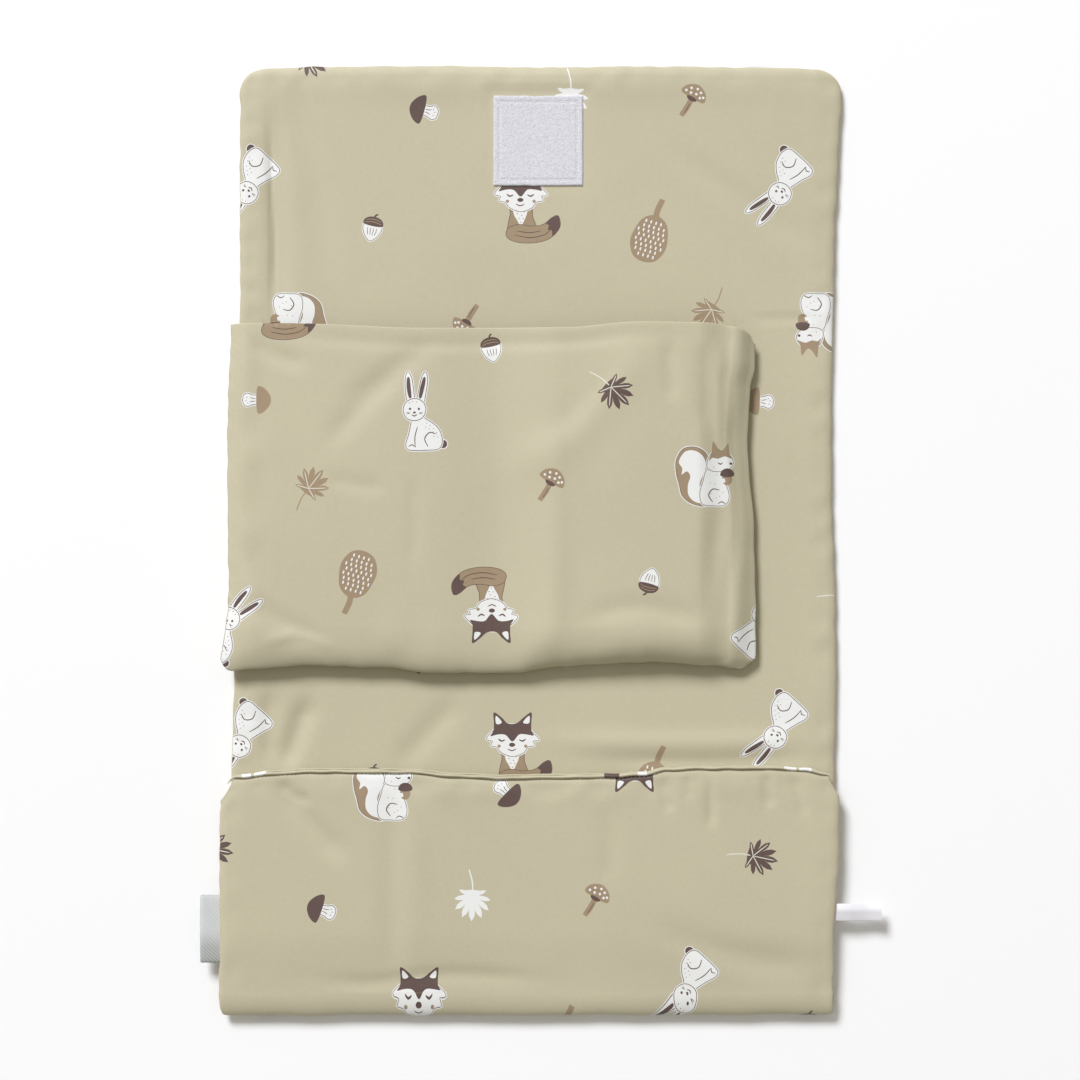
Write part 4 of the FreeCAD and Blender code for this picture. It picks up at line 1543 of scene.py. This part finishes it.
ribbon_loop = label("ribbon_loop", "ribbon_label", (
    (1, 2.0, 0.5), (1, -3.0, 0.75), (0, 2.2, 0.95), (0, 0.5, 0.5), (0, 0.5, -0.4), (0, 2.2, -0.7),
    (1, -3.0, -0.55), (1, 2.0, -0.4)), 0.5, 0.45, 0.15, RIBBON)
care_tab = label("care_tab", "care_label", ((0, -3, 0), (0, 6, 0.3), (0, 16, -0.5), (1, 0, 0.4)), 1.0, 0.35,
                 0.3, SATIN)


# ---------------------------------------------------------------- the CAD parts that each piece replaces, and what some of them move with


PADS = (
    (mat_head, "head_spine", "head_panel", HEAD_START, ("head_panel",)),
    (mat_centre_head, "centre_panel", "head_spine", HEAD_FOLD, ("head_spine",)),
    (mat_centre_foot, "centre_panel", "foot_spine", FOOT_FOLD, ("centre_panel",)),
    (mat_foot, "foot_spine", "foot_panel", FOOT_START, ("foot_spine", "foot_panel")),
)
for pad, near, far, fold_y, stands_for in PADS:
    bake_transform(pad)
    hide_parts(*[f"{body}_{layer}" for body in stands_for
                       for layer in ("top_cover", "wadding", "back_cover")])

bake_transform(mat_foot_fold)
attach(mat_end_flap, "end_flap")
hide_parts("end_flap_top_cover", "end_flap_wadding", "end_flap_back_cover")

for sheet, nodes in ((pouch_front, ("pouch_front_layer", "pouch_front_hem")),
                     (pouch_back, ("pouch_back_layer", "pouch_back_hem"))):
    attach(sheet, "pouch")
    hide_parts(*nodes)

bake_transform(pouch_seam_strip)
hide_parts("pouch_seam_tape")

RIDERS = (
    (loop_patch, "head_panel", "loop_patch", "loop_patch"),
    (loop_thread, "head_panel", "thread", "loop_patch_stitching"),
    (hook_patch, "foot_panel", "hook_patch", "hook_patch"),
    (hook_thread, "foot_panel", "thread", "hook_patch_stitching"),
    (flap_edge_rolls, "end_flap", "printed_cover", "flap_edge_band"),
    (flap_edge_thread, "end_flap", "thread", "flap_edge_stitching"),
    (ribbon_loop, "ribbon_label", "ribbon", "ribbon_label"),
    (care_tab, "care_label", "care_tape", "care_label"),
)
for piece, body, slot, node in RIDERS:
    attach(piece, body)
    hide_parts(node)


# ---------------------------------------------------------------- floor, light and camera

FLOOR_REACH = 30.0           # metres
FLOOR_Z = -0.0002            # just below the mat, so that the two never share a plane
floor_mesh = bpy.data.meshes.new("floor")
floor_corners = [(x * FLOOR_REACH, y * FLOOR_REACH, FLOOR_Z) for x, y in ((-1, -1), (1, -1), (1, 1), (-1, 1))]
floor_mesh.from_pydata(floor_corners, [], [(0, 1, 2, 3)])
floor_material, _, floor_shader = principled("floor")
floor_shader.inputs["Base Color"].default_value = (0.93, 0.93, 0.93, 1)
floor_shader.inputs["Roughness"].default_value = 0.9
floor_shader.inputs["Specular IOR Level"].default_value = 0.1
floor_mesh.materials.append(floor_material)
new_object("floor", floor_mesh)

KEY_FROM = Vector((-0.36, 0.65, 0.646)).normalized()
KEY_DISTANCE = 12.0
key_data = bpy.data.lights.new("key", "AREA")
key_data.shape = "DISK"
key_data.size = 4.2
key_data.energy = 1450.0
key_data.color = (1.0, 1.02, 1.08)
key = new_object("key", key_data)
key.location = KEY_FROM * KEY_DISTANCE
key.rotation_euler = KEY_FROM.to_track_quat("Z", "Y").to_euler()

world = bpy.data.worlds.new("studio")
world.use_nodes = True
sky = world.node_tree
direction = add(sky, "ShaderNodeTexCoord").outputs["Generated"]
height = add(sky, "ShaderNodeSeparateXYZ", Vector=direction).outputs["Z"]
ceiling = add(sky, "ShaderNodeMapRange", Value=height, From_Min=0.0, From_Max=0.9, To_Min=0.20, To_Max=0.48)
background = sky.nodes["Background"]
background.inputs["Color"].default_value = (1.0, 0.965, 0.88, 1)
sky.links.new(ceiling.outputs["Result"], background.inputs["Strength"])
scene = bpy.context.scene
scene.world = world
scene.view_settings.view_transform = "Standard"

CAMERA_X, CAMERA_HEIGHT = 2.0, 1740.0
camera_data = bpy.data.cameras.new("camera")
camera_data.lens = 100.0
camera_data.sensor_width = 36.0
camera = new_object("camera", camera_data)
camera.location = (CAMERA_X * MM, 0.0, (CAMERA_HEIGHT + MAT_TOP) * MM)
scene.camera = camera
